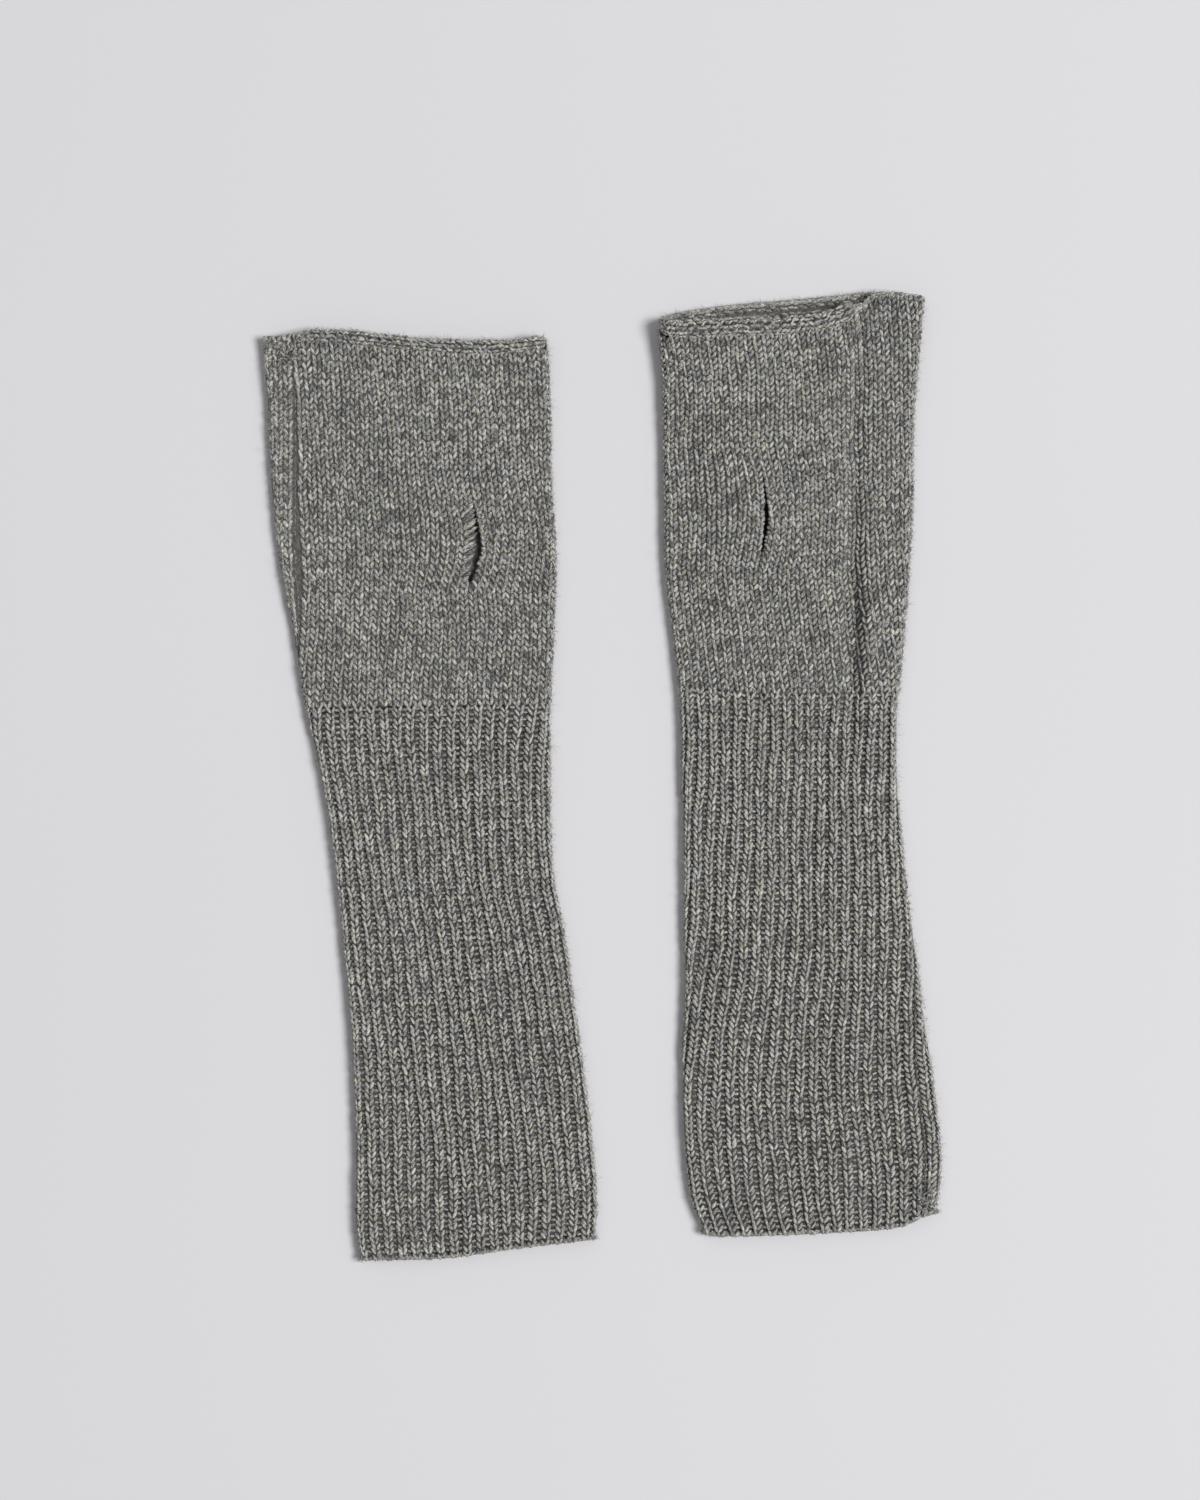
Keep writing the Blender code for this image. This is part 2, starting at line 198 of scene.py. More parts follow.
rng = np.random.default_rng(41)


# ---------------------------------------------------------------- the solids' forms


def read(rows, columns, at, name):
    """The named column of a table at values of its first column, by smooth (Hermite) interpolation."""
    table = np.array(sorted(rows), float)
    keys, values = table[:, 0], table[:, columns.index(name)]
    at = np.clip(at, keys[0], keys[-1])
    i = np.clip(np.searchsorted(keys, at, side="right") - 1, 0, len(keys) - 2)
    low = np.maximum(np.arange(len(keys)) - 1, 0)
    high = np.minimum(np.arange(len(keys)) + 1, len(keys) - 1)
    slopes = (values[high] - values[low]) / (keys[high] - keys[low])
    span = keys[i + 1] - keys[i]
    t = (at - keys[i]) / span
    rise = t * t * (3 - 2 * t)
    bend = t * (1 - t) ** 2 * span * slopes[i] + t * t * (t - 1) * span * slopes[i + 1]
    return values[i] + (values[i + 1] - values[i]) * rise + bend


def ease(t):
    t = np.clip(t, 0.0, 1.0)
    return t * t * (3 - 2 * t)


def lerp(a, b, t):
    return a + (b - a) * t


def creases(side, layer, x, y):
    """How deep the creases of one layer are at these places."""
    deep = np.zeros(np.broadcast(x, y).shape)
    for row in CREASES[side, layer]:
        crease = dict(zip(CREASE_COLUMNS, row))
        turn = math.radians(crease["turn"])
        dx, dy = x - crease["x"], y - crease["y"]
        along = (dy * math.cos(turn) + dx * math.sin(turn)) / crease["length"] * 2
        across = (dx * math.cos(turn) - dy * math.sin(turn)) / crease["width"] * 2
        deep += crease["depth"] * np.exp(-(along**2) - across**2)
    return deep


class Rings:
    """Sections of one warmer's flattened tube at an array of heights. Each outline is walked from the
    outermost point of the seam side, over the front layer, round the far fold and back."""

    def __init__(self, side, y, mouth=None):
        warmer = WARMERS[side]
        self.side, self.warmer, self.y = side, warmer, np.asarray(y, float)
        self.left, self.right, lift, self.height = (
            read(warmer["sections"], SECTION_COLUMNS, self.y, name) for name in SECTION_COLUMNS[1:]
        )
        self.lift = np.maximum(lift, 0.0)
        self.radius = np.minimum(self.height / 2, FOLD_RADIUS)
        if mouth is not None:
            self.lift = np.zeros_like(self.lift)
            self.height = np.full_like(self.height, mouth)
            self.radius = np.full_like(self.radius, mouth / 2)
        self.flat = self.right - self.left - 2 * self.radius
        self.quarter = math.pi * self.radius / 2
        self.far_fold = self.quarter + self.flat
        self.far_tip = self.far_fold + self.quarter
        self.back = self.far_tip + self.quarter
        self.near_fold = self.back + self.flat
        self.length = self.near_fold + self.quarter

    def seam(self):
        return read(self.warmer["seam"], SEAM_COLUMNS, self.y, "round")

    def round_to(self, inset):
        return self.quarter + inset - self.radius

    def inset_of(self, x):
        """How far a place is in from the seam side's outermost point."""
        return x - self.left if self.warmer["seam_side"] < 0 else self.right - x

    def x(self, inset):
        return self.left + inset if self.warmer["seam_side"] < 0 else self.right - inset

    def crown(self, inset):
        width = self.right - self.left
        from_fold = np.minimum(inset, width - inset) - self.radius
        risen = (self.height - 2 * self.radius) * ease(from_fold / (CROWN_SHARE * width))
        return risen - self.trough(self.x(inset))

    def trough(self, x):
        fold = self.warmer["trough"]
        if fold is None:
            return 0.0
        into = ease((self.y - fold["low"]) / (fold["middle"] - fold["low"]))
        out = ease((fold["high"] - self.y) / (fold["high"] - fold["middle"]))
        return fold["depth"] * into * out * np.exp(-(((x - fold["x"]) / fold["width"]) ** 2))

    def at(self, way, depth):
        """(x, z, share of the front layer) at way mm round the outline and depth mm into the cloth."""
        way = np.mod(way, self.length)
        r, width = self.radius, self.right - self.left
        inner = r - depth
        rising = np.clip(way / r, 0.0, math.pi / 2)
        falling = np.clip((way - self.far_fold) / r, 0.0, math.pi)
        closing = np.clip((way - self.near_fold) / r, 0.0, math.pi / 2)
        over = r + np.clip(way - self.quarter, 0.0, self.flat)
        under = width - r - np.clip(way - self.back, 0.0, self.flat)
        stretches = [way < self.quarter, way < self.far_fold, way < self.back, way < self.near_fold]
        inset = np.select(
            stretches,
            [r - inner * np.cos(rising), over, width - r + inner * np.sin(falling), under],
            r - inner * np.sin(closing),
        )
        z = np.select(
            stretches,
            [
                r + inner * np.sin(rising),
                2 * r - depth + self.crown(over),
                r + inner * np.cos(falling),
                depth + 0 * way,
            ],
            r - inner * np.cos(closing),
        )
        share = np.select(
            stretches,
            [(1 + np.sin(rising)) / 2, 1.0 + 0 * way, (1 + np.cos(falling)) / 2, 0.0 * way],
            (1 - np.cos(closing)) / 2,
        )
        return self.x(inset), self.lift + z, share


def rim_y(side, x, share):
    """The middle line of the rolled edge, on the front layer at share 1 and on the back one at 0."""
    rim = WARMERS[side]["rim"]
    return lerp(read(rim, RIM_COLUMNS, x, "back"), read(rim, RIM_COLUMNS, x, "front"), share)


def line_y(side, line, x):
    return read(WARMERS[side][line], LINE_COLUMNS, x, "y")


def part_ends(side, part):
    """The heights of the sections at a part's two ends."""
    sections = WARMERS[side]["sections"]
    end = sections[0] if part == "hand" else sections[-1]
    waist = float(line_y(side, "waist", (end[1] + end[2]) / 2))
    return (waist, end[0]) if part == "hand" else (end[0], waist)


def rings_of(side, part, along):
    low, high = part_ends(side, part)
    return Rings(side, lerp(low, high, np.asarray(along, float)))


def surface(side, part, along, way, depth):
    """Points of one part of a warmer: along runs from 0 at its lower end to 1 at its upper one."""
    along, way, depth = np.broadcast_arrays(along, way, depth)
    rings = rings_of(side, part, along)
    x, z, share = rings.at(way, depth)
    flat_edge = 0.0
    if part == "hand":
        half_roll = WARMERS[side]["roll"]["width"] / 2
        corner = WARMERS[side]["corner"]
        reach = -half_roll + lerp(BACK_UNDER_ROLL, FRONT_UNDER_ROLL, share)
        from_seam = np.mod(way, rings.length)
        stop, fade = (rings.seam() + 1.0, 3.0) if corner is None else (rings.round_to(corner) + 2.5, 7.0)
        flat_edge = 1 - ease((from_seam - stop) / fade + 0.5)
        past = ease((from_seam - rings.near_fold + 4.0) / 4.0)
        reach = lerp(reach, half_roll * FLAT_REACH, np.maximum(flat_edge, past))
        y = lerp(line_y(side, "waist", x), rim_y(side, x, share) + reach, along)
    else:
        y = lerp(line_y(side, "hem", x), line_y(side, "waist", x), along)
    bent = share * creases(side, "front", x, y) - (1 - share) * creases(side, "back", x, y)
    z = z - np.where(share > 0.5, bent, np.minimum(bent, 0))
    z = np.where(share > 0.99, np.maximum(z, rings.lift + LAYERS - depth), z)
    if part == "hand":
        to_rim = ease((along - 1) * part_length(side, part) / RIM_RISE + 1) * (1 - flat_edge)
        z = lerp(z, np.maximum(z, roll_height(rings, x) + HAND_DEPTH - depth), to_rim * ease(2 * share - 1))
    return np.stack([x, y, np.maximum(z, REST)], axis=-1)


def roll_height(rings, x):
    """How high the middle of the front's rolled edge is over these places."""
    roll = rings.warmer["roll"]
    fold = roll["mouth"] / 2
    from_fold = np.clip(fold - np.minimum(x - rings.left, rings.right - x), 0.0, None)
    return fold + np.sqrt(np.clip((fold - roll["height"] / 2) ** 2 - from_fold**2, 0.0, None))


def outward(side, part, along, way, depth):
    """Unit normals there, from how the cloth's depth runs."""
    step = 0.2
    line = surface(side, part, along, way, depth - step) - surface(side, part, along, way, depth + step)
    return line / np.maximum(np.linalg.norm(line, axis=-1, keepdims=True), 1e-9)


# ---------------------------------------------------------------- meshes


def mesh_object(name, points, corners, counts, uv=None, attributes=None, smooth=True):
    """An object from arrays: points in mm, corners as vertex numbers, and how many each face has."""
    mesh = bpy.data.meshes.new(name)
    mesh.vertices.add(len(points))
    placed = (points - np.array([*PAIR_MIDDLE, 0.0])) * MM
    mesh.vertices.foreach_set("co", placed.astype(np.float32).ravel())
    mesh.loops.add(len(corners))
    mesh.loops.foreach_set("vertex_index", corners.astype(np.int32))
    mesh.polygons.add(len(counts))
    starts = np.cumsum(counts) - counts
    mesh.polygons.foreach_set("loop_start", starts.astype(np.int32))
    mesh.update(calc_edges=True)
    if smooth:
        mesh.shade_smooth()
    if uv is not None:
        layer = mesh.uv_layers.new(name="OFBake")
        layer.uv.foreach_set("vector", uv.astype(np.float32).ravel())
    for label, values in (attributes or {}).items():
        kind, field = ("FLOAT_VECTOR", "vector") if values.ndim == 2 else ("FLOAT", "value")
        attribute = mesh.attributes.new(label, kind, "POINT")
        attribute.data.foreach_set(field, values.astype(np.float32).ravel())
    obj = bpy.data.objects.new(name, mesh)
    bpy.context.scene.collection.objects.link(obj)
    return obj


def band_quads(rows, columns):
    """A grid's vertex numbers, the same one column on, and the faces between its rows. Its columns
    close on themselves."""
    number = np.arange(rows * columns).reshape(rows, columns)
    right = np.roll(number, -1, axis=1)
    quads = np.stack([number[:-1], right[:-1], right[1:], number[1:]], axis=-1).reshape(-1, 4)
    return number, right, quads


def strand_faces(rings, sides):
    """One strand's faces: (vertex numbers, counts, corner places on its own cell of the map).
    Vertices are the first tip, ring after ring, then the last tip."""
    corners, counts, places = [], [], []
    last = 1 + rings * sides

    def ring_vertex(ring, side):
        return 1 + ring * sides + side % sides

    def place(side, ring):
        return side / sides, ring / (rings + 1)

    for s in range(sides):
        corners += [0, ring_vertex(0, s + 1), ring_vertex(0, s)]
        places += [place(s + 0.5, 0), place(s + 1, 1), place(s, 1)]
        counts.append(3)
        for ring in range(rings - 1):
            for up, over in ((0, 0), (0, 1), (1, 1), (1, 0)):
                corners.append(ring_vertex(ring + up, s + over))
                places.append(place(s + over, ring + up + 1))
            counts.append(4)
        corners += [ring_vertex(rings - 1, s), ring_vertex(rings - 1, s + 1), last]
        places += [place(s, rings), place(s + 1, rings), place(s + 0.5, rings + 1)]
        counts.append(3)
    return np.array(corners), np.array(counts), np.array(places)


def unit(v):
    return v / np.maximum(np.linalg.norm(v, axis=-1, keepdims=True), 1e-9)


def facing_up(count):
    return np.repeat([[0.0, 0.0, 1.0]], count, axis=0)


def strands(name, spines, normals, half_width, half_height, sides, shade, taper=None):
    """Closed strands of yarn as one mesh. spines is (strands, points, 3), from tip to tip, and each
    point but the tips gets a ring that is half_width wide and half_height high about it."""
    count, points = spines.shape[:2]
    rings = points - 2
    if normals.ndim == 2:
        normals = np.repeat(normals[:, None], points, axis=1)
    tangents = unit(spines[:, 2:] - spines[:, :-2])
    across = unit(np.cross(tangents, normals[:, 1:-1]))
    upward = np.cross(across, tangents)
    taper = np.ones(rings) if taper is None else np.asarray(taper, float)
    turns = 2 * math.pi * np.arange(sides) / sides - math.pi / 2
    wide = (np.broadcast_to(half_width, count)[:, None] * taper)[:, :, None, None]
    high = (np.broadcast_to(half_height, count)[:, None] * taper)[:, :, None, None]
    circle_x = np.cos(turns)[None, None, :, None]
    circle_y = np.sin(turns)[None, None, :, None]
    body = spines[:, 1:-1, None] + across[:, :, None] * wide * circle_x + upward[:, :, None] * high * circle_y
    vertices = np.concatenate([spines[:, :1], body.reshape(count, rings * sides, 3), spines[:, -1:]], axis=1)
    vertices[..., 2] = np.maximum(vertices[..., 2], 0.0)

    corners, counts, places = strand_faces(rings, sides)
    per_strand = 2 + rings * sides
    offsets = np.arange(count)[:, None] * per_strand
    grid = math.ceil(math.sqrt(count))
    cell = np.stack([np.arange(count) % grid, np.arange(count) // grid], axis=1)[:, None]
    uv = (cell + 0.06 + 0.88 * places[None]) / grid

    # Where a point is on its yarn: round it and along it in mm, and a number for each strand, far
    # enough from its neighbours' that no two have the same streaks.
    steps = np.linalg.norm(np.diff(spines, axis=1), axis=2)
    long = np.concatenate([np.zeros((count, 1)), np.cumsum(steps, axis=1)], axis=1)
    round_mm = (turns - turns[0]) * 0.5
    yarn = np.zeros((count, per_strand, 3))
    yarn[:, 1:-1, 0] = np.tile(round_mm, rings)[None]
    yarn[:, 1:-1, 1] = np.repeat(long[:, 1:-1], sides, axis=1)
    yarn[:, [0, -1], 0] = round_mm.mean()
    yarn[:, -1, 1] = long[:, -1]
    yarn[:, :, 2] = (np.arange(count) * 7.31 % 997)[:, None]
    shades = np.repeat(np.broadcast_to(shade, count)[:, None], per_strand, axis=1)
    return mesh_object(
        name,
        vertices.reshape(-1, 3),
        (corners[None] + offsets).ravel(),
        np.tile(counts, count),
        uv.reshape(-1, 2),
        {"yarn": yarn.reshape(-1, 3), "shade": shades.ravel()},
    )


def shell(name, outer, inner, fabric, flip):
    """A closed tube wall between two equal grids of points, (rows, columns), that close on themselves
    across their columns."""
    rows, columns = outer.shape[:2]
    number, right, quads = band_quads(rows, columns)
    far = rows * columns
    faces = [quads, quads[:, [0, 3, 2, 1]] + far]
    low, low_next, high, high_next = number[0], right[0], number[-1], right[-1]
    faces.append(np.stack([low, low + far, low_next + far, low_next], axis=-1))
    faces.append(np.stack([high, high_next, high_next + far, high + far], axis=-1))
    faces = np.concatenate(faces)
    if flip:
        faces = faces[:, ::-1]
    points = np.concatenate([outer.reshape(-1, 3), inner.reshape(-1, 3)])
    # The inner wall's fabric z is 1, which the ground material darkens as painted shade inside the tube.
    inside = fabric + np.array([0.0, 0.0, 1.0])
    fabric = np.concatenate([fabric.reshape(-1, 3), inside.reshape(-1, 3)])
    return mesh_object(name, points, faces.ravel(), np.full(len(faces), 4), attributes={"fabric": fabric})


# ---------------------------------------------------------------- the cloth under the stitches


def rib_depth(side, rings, way, y):
    """The depth of a cuff's cloth: crests and valleys round it, shallow at the waist."""
    place = np.mod(way - rings.seam(), rings.length) / rings.length * RIBS
    valley = (1 + np.cos(2 * math.pi * place)) / 2
    uneven = 0.5 * np.sin(np.round(place) * 2.4 + y * 0.035) + 0.5 * np.sin(np.round(place) * 5.1 - y * 0.06)
    valley = valley * (1 - VALLEY_SPREAD * (1 + uneven) / 2)
    risen = ease((line_y(side, "waist", (rings.left + rings.right) / 2) - y + 1.5) / RIB_RISE)
    deep = lerp(HAND_DEPTH + 0.15, VALLEY_DEPTH, risen)
    crest = lerp(HAND_DEPTH, CREST_DEPTH, risen)
    return lerp(crest, deep, valley**0.8)


HAND_GRID = (52, 104)  # rows and columns of a hand's cloth
CUFF_ROWS = 50
COLUMNS_PER_RIB = 4


def tube_grid(side, part):
    rows, columns = HAND_GRID if part == "hand" else (CUFF_ROWS, RIBS * COLUMNS_PER_RIB)
    along = np.linspace(0.0, 1.0, rows)[:, None] + np.zeros((1, columns))
    if part == "hand":
        along = along * 0.998
    rings = rings_of(side, part, along)
    way = rings.seam() + rings.length * (np.arange(columns) / columns)[None]
    return along, way, rings


def cloth(side, part):
    """The hollow tube of a hand or a cuff."""
    along, way, rings = tube_grid(side, part)
    if part == "hand":
        depth, wall = np.full(way.shape, HAND_DEPTH), HAND_WALL
    else:
        depth, wall = rib_depth(side, rings, way, rings.y), CUFF_WALL
    outer = surface(side, part, along, way, depth)
    inner = surface(side, part, along, way, depth + wall)
    fabric = np.stack([way - rings.far_tip, outer[..., 1], np.zeros(way.shape)], axis=-1)
    return shell(f"{side}_{part}_cloth", outer, inner, fabric, flip=WARMERS[side]["seam_side"] < 0)


SLIT_OPEN = 0.1  # how far the columns stand back from the slit
SLIT_SPREAD = 4.0  # how far to each side they are pressed together
SLIT_FADE = 14.0  # how far above and below the slit their lines bend
SLIT_PULL = 20.0  # and how far to each side


def slit_lens(slit, y):
    """(the slit's middle x, its half width) at heights y; the half width is 0 past its ends."""
    t = (y - slit["y"]) / (slit["length"] / 2)
    bulge = np.clip(1 - t * t, 0.0, 1.0)
    middle = slit["x"] + t * slit["lean"] / 2 + bulge * slit["bow"] - slit["bow"] / 2
    return middle, np.sqrt(bulge) * slit["width"] / 2


def cut_slit(side, obj):
    """Cuts the thumb slit through the front layer of a hand's cloth."""
    slit = WARMERS[side]["slit"]
    steps = 16
    heights = slit["y"] + slit["length"] / 2 * np.linspace(-1, 1, steps + 1)
    middle, half = slit_lens(slit, heights)
    outline = [(middle[i] + half[i], heights[i]) for i in range(steps)]
    outline += [(middle[i] - half[i], heights[i]) for i in range(steps, 0, -1)]
    height = float(Rings(side, slit["y"]).height)
    flat = np.array(outline)
    n = len(flat)
    levels = (height / 2, height * 2)
    points = np.concatenate([np.column_stack([flat, np.full(n, z)]) for z in levels])
    sides = [(i, (i + 1) % n, n + (i + 1) % n, n + i) for i in range(n)]
    corners = np.concatenate([np.arange(n)[::-1], np.arange(n) + n, np.array(sides).ravel()])
    cutter = mesh_object(f"{side}_slit_cutter", points, corners, np.array([n, n] + [4] * n))
    cut = obj.modifiers.new("slit", "BOOLEAN")
    cut.operation = "DIFFERENCE"
    cut.object = cutter
    apply_modifiers(obj)
    bpy.data.objects.remove(cutter)


def apply_modifiers(obj):
    graph = bpy.context.evaluated_depsgraph_get()
    obj.data = bpy.data.meshes.new_from_object(obj.evaluated_get(graph))
    obj.modifiers.clear()


# ---------------------------------------------------------------- stitches


def smooth_noise(count, width, seed_rng):
    """count random numbers about 0, each like its neighbours over about width places."""
    raw = seed_rng.normal(size=count + 4 * int(width) + 8)
    reach = np.arange(-2 * int(width) - 2, 2 * int(width) + 3)
    kernel = np.exp(-((reach / max(width, 0.5)) ** 2))
    kernel /= np.sqrt((kernel**2).sum())
    return np.convolve(raw, kernel, mode="same")[4 : 4 + count]


def scatter(count, size):
    """A random offset for each of count strands, the same all along each of them."""
    return rng.normal(size=(count, 1)) * size


def knit_shades(courses, wales):
    """How light each stitch's yarn is: the wool's mixture changes slowly along each course."""
    rows = [smooth_noise(wales, 4.0, rng) for _ in range(courses)]
    return np.array(rows) * 0.055 + rng.normal(size=(courses, wales)) * 0.04


def stitch_lean(at, seed):
    """A slow wander of the stitches, in mm."""
    phase = seed * 1.7
    return 0.22 * np.sin(at[..., 0] * 0.21 + at[..., 1] * 0.13 + phase) + 0.16 * np.sin(
        at[..., 0] * 0.47 - at[..., 1] * 0.31 + 2.1 * phase
    )


# A stitch's right leg, as points (across, along, into the cloth) in mm from the stitch's middle,
# the lower tip first. The left leg is its mirror image.
PLAIN_LEG = [
    (0.10, -1.45, 1.30), (0.36, -0.82, 0.72), (0.74, -0.05, 0.38), (1.10, 0.74, 0.66), (1.30, 1.32, 1.30)
]
RIB_LEG = [
    (0.08, -1.55, 1.35), (0.36, -0.86, 0.76), (0.76, -0.05, 0.48), (1.14, 0.70, 0.74), (1.38, 1.30, 1.40)
]
UNDER_LEG_POINTS = (0, 1, 3, 4)
STITCH_JITTER = (0.10, 0.13, 0.16, 0.07)  # across, along, along and unlike in the two legs, and deep
PLAIN_WIDTH, PLAIN_HEIGHT = 0.62, 0.45
RIB_WIDTH, RIB_HEIGHT = 0.56, 0.50


def leg_spines(side, part, along, way, length, shape, scale, jitter, under):
    """Both legs of stitches at (along, way): their spines and normals. length is the part's length in
    mm, scale how wide each stitch is against its shape, and under how far all of them are set in."""
    shape = np.array(shape)
    spines, normals = [], []
    for hand in (-1, 1):
        across = way[:, None] + hand * shape[None, :, 0] * scale[:, None] + jitter[:, :1]
        up = along[:, None] + (shape[None, :, 1] + jitter[:, 1:2] + hand * jitter[:, 2:3]) / length
        deep = shape[None, :, 2] + jitter[:, 3:4] + under
        # A tip stays inside an open end, but crosses the waist.
        up = np.minimum(up, 1.0) if part == "hand" else np.maximum(up, 0.0)
        spines.append(surface(side, part, up, across, deep))
        normals.append(outward(side, part, up, across, deep))
    return np.concatenate(spines), np.concatenate(normals)


def stitches(side, part, layer, along, way, shade, shape, widths, scale):
    """The stitches of one layer as one mesh. A back layer's strands are plainer."""
    count = len(along)
    length = part_length(side, part)
    jitter = rng.normal(size=(count, 4)) * STITCH_JITTER
    under = UNDER_LIFT if layer == "back" else 0.0
    if layer == "back":
        shape = [shape[i] for i in UNDER_LEG_POINTS]
    spines, normals = leg_spines(side, part, along, way, length, shape, scale, jitter, under)
    taper = (0.82, 1.0, 0.82) if layer == "front" else (1.0, 1.0)
    width = widths[0] * (1 + 0.10 * rng.normal(size=2 * count))
    height = widths[1] * (1 + 0.08 * rng.normal(size=2 * count))
    if layer == "back":
        height *= 0.8
    shades = np.concatenate([shade, shade]) + rng.normal(size=2 * count) * 0.19
    return strands(f"{side}_{part}_{layer}_stitches", spines, normals, width, height, 4, shades, taper)


SEAM_CLEAR = 0.85  # from the seam's middle to the nearest column's


def purl_bumps(side):
    """The bumps between two ribs, on the front."""
    courses = round(part_length(side, "cuff") / RIB_COURSE)
    along = np.repeat(((np.arange(courses) + 0.5) / courses)[:, None], RIBS, axis=1)
    rings = rings_of(side, "cuff", along)
    pitch = rings.length / RIBS
    way = rings.seam() + (np.arange(RIBS)[None] + 1.0) * pitch
    front = in_front(rings, way)
    along, way, pitch = along[front], way[front], pitch[front]
    count = len(along)
    jitter = rng.normal(size=(count, 3)) * (0.10, 0.12, 0.06)
    slope = scatter(count, 0.22)
    t = np.array([-1.0, -0.45, 0.45, 1.0])
    across = way[:, None] + t[None] * (pitch[:, None] * 0.30) + jitter[:, :1]
    up = along[:, None] + (slope * t[None] + jitter[:, 1:2] - 0.25 * t[None] ** 2) / part_length(side, "cuff")
    up = np.clip(up, 0.0, 1.0)
    rings = rings_of(side, "cuff", up)
    base = rib_depth(side, rings, way[:, None] + 0 * up, rings.y)
    deep = base + np.array([0.40, -0.14, -0.14, 0.40])[None] + jitter[:, 2:3]
    spines = surface(side, "cuff", up, across, deep)
    normals = outward(side, "cuff", up, across, deep)
    # Painted shade: the bumps are 0.15 darker for the shade in the valleys between the ribs.
    shades = rng.normal(size=count) * 0.14 - 0.15
    return strands(f"{side}_cuff_purl_bumps", spines, normals, 0.46, 0.42, 4, shades, (1.0, 1.0))


CHAIN_PITCH = 1.5


def end_chain(side, part, start, stop):
    """The bound-off stitches along an open end, between two ways round it."""
    along = 0.0 if part == "cuff" else 1.0
    count = int((stop - start) / CHAIN_PITCH)
    centre = start + (np.arange(count) + 0.5) * (stop - start) / count
    t = np.array([-1.0, -0.5, 0.0, 0.5, 1.0])
    spines, normals = [], []
    rows = ((0.50, 1),) if part == "cuff" else ((0.45, 1), (1.25, -1))
    for row, (inside, lay) in enumerate(rows):
        way = centre[:, None] + t[None] * CHAIN_PITCH * 0.72 + scatter(count, 0.12)
        in_by = inside + lay * 0.38 * t[None] + scatter(count, 0.12)
        up = np.abs(along - np.maximum(in_by, 0.15) / part_length(side, part))
        deep = np.array([1.25, 0.62, 0.44, 0.62, 1.25])[None] + 0.12 * row + scatter(count, 0.07)
        if part == "cuff":
            rings = rings_of(side, part, up)
            deep = deep - 0.10 + 0.75 * (rib_depth(side, rings, way, rings.y) - CREST_DEPTH)
        spines.append(surface(side, part, up, way, deep))
        normals.append(outward(side, part, up, way, deep))
    spines, normals = np.concatenate(spines), np.concatenate(normals)
    shades = rng.normal(size=len(spines)) * 0.14 - (0.12 if part == "cuff" else 0.0)
    return strands(f"{side}_{part}_end_chain", spines, normals, 0.50, 0.44, 4, shades, (0.85, 1.0, 0.85))


def part_length(side, part):
    low, high = part_ends(side, part)
    return high - low


def in_front(rings, way):
    """Whether a place is on the front layer, down to the outermost points of the folds."""
    way = np.mod(way, rings.length)
    return way <= rings.far_tip


def part_at_slit(side, rings, along, way):
    """Moves the front's columns beside the thumb slit, so that it opens between two of them."""
    slit = WARMERS[side]["slit"]
    y = surface(side, "hand", along[:, 0], rings.far_tip, HAND_DEPTH)[:, 1]
    reach = slit["length"] / 2
    middle, half = slit_lens(slit, np.clip(y, slit["y"] - reach, slit["y"] + reach))
    opening = rings.round_to(rings.inset_of(middle))
    at_ends = np.abs(np.abs(y - slit["y"]) - reach) < COURSE
    columns = np.round((rings.far_tip - opening)[at_ends].mean() / WALE)
    shift = opening - (rings.far_tip - columns * WALE)
    near = ease((reach + SLIT_FADE - np.abs(y - slit["y"])) / SLIT_FADE)
    off = way - (rings.far_tip - columns * WALE)[:, None]
    spread = np.sign(off) * (half + SLIT_OPEN * (half > 0))[:, None] * np.exp(-np.abs(off) / SLIT_SPREAD)
    return way + (shift * near)[:, None] * np.exp(-((off / SLIT_PULL) ** 2)) + spread


def hand_stitches(side):
    """Plain knit: the front's columns keep their width from the thumb's fold and run off into the
    seam, and the back's columns share what is left."""
    courses = round(part_length(side, "hand") / COURSE)
    slit = WARMERS[side]["slit"]
    along = (np.arange(courses) + 0.5) / courses
    rings = rings_of(side, "hand", along)
    made = []
    wales = math.ceil(float(rings.far_tip.max()) / WALE) + 2
    shade = knit_shades(courses, wales)
    a = np.repeat(along[:, None], wales, axis=1)
    w = rings.far_tip[:, None] - (np.arange(wales)[None] + 0.5) * WALE
    keep = w > rings.seam()[:, None] + SEAM_CLEAR
    w = part_at_slit(side, rings, a, w)
    at = surface(side, "hand", a, w, HAND_DEPTH)
    if slit["lip"] > 0:
        middle, half = slit_lens(slit, at[..., 1])
        bare_from = middle - half - slit["lip"] * LIP_BARE * half / half.max()
        keep &= (half < LIP_LEAST) | (at[..., 0] > middle) | (at[..., 0] < bare_from)
    lean = stitch_lean(at, 1.0)
    a = a + lean * 0.5 / part_length(side, "hand")
    made.append(
        stitches(side, "hand", "front", a[keep], (w + lean)[keep], shade[keep], PLAIN_LEG,
                 (PLAIN_WIDTH, PLAIN_HEIGHT), np.ones(keep.sum()))
    )
    rest = rings.length + rings.seam() - SEAM_CLEAR - rings.far_tip
    count = round(float(rest.mean()) / WALE)
    shade = knit_shades(courses, BACK_WALES)[:, :count]
    a = np.repeat(along[:, None], count, axis=1)
    pitch = rest / count
    w = rings.far_tip[:, None] + (np.arange(count)[None] + 0.5) * pitch[:, None]
    scale = np.repeat((pitch / WALE)[:, None], count, axis=1)
    made.append(
        stitches(side, "hand", "back", a.ravel(), w.ravel(), shade.ravel(), PLAIN_LEG,
                 (PLAIN_WIDTH * 1.08, PLAIN_HEIGHT), scale.ravel())
    )
    return made


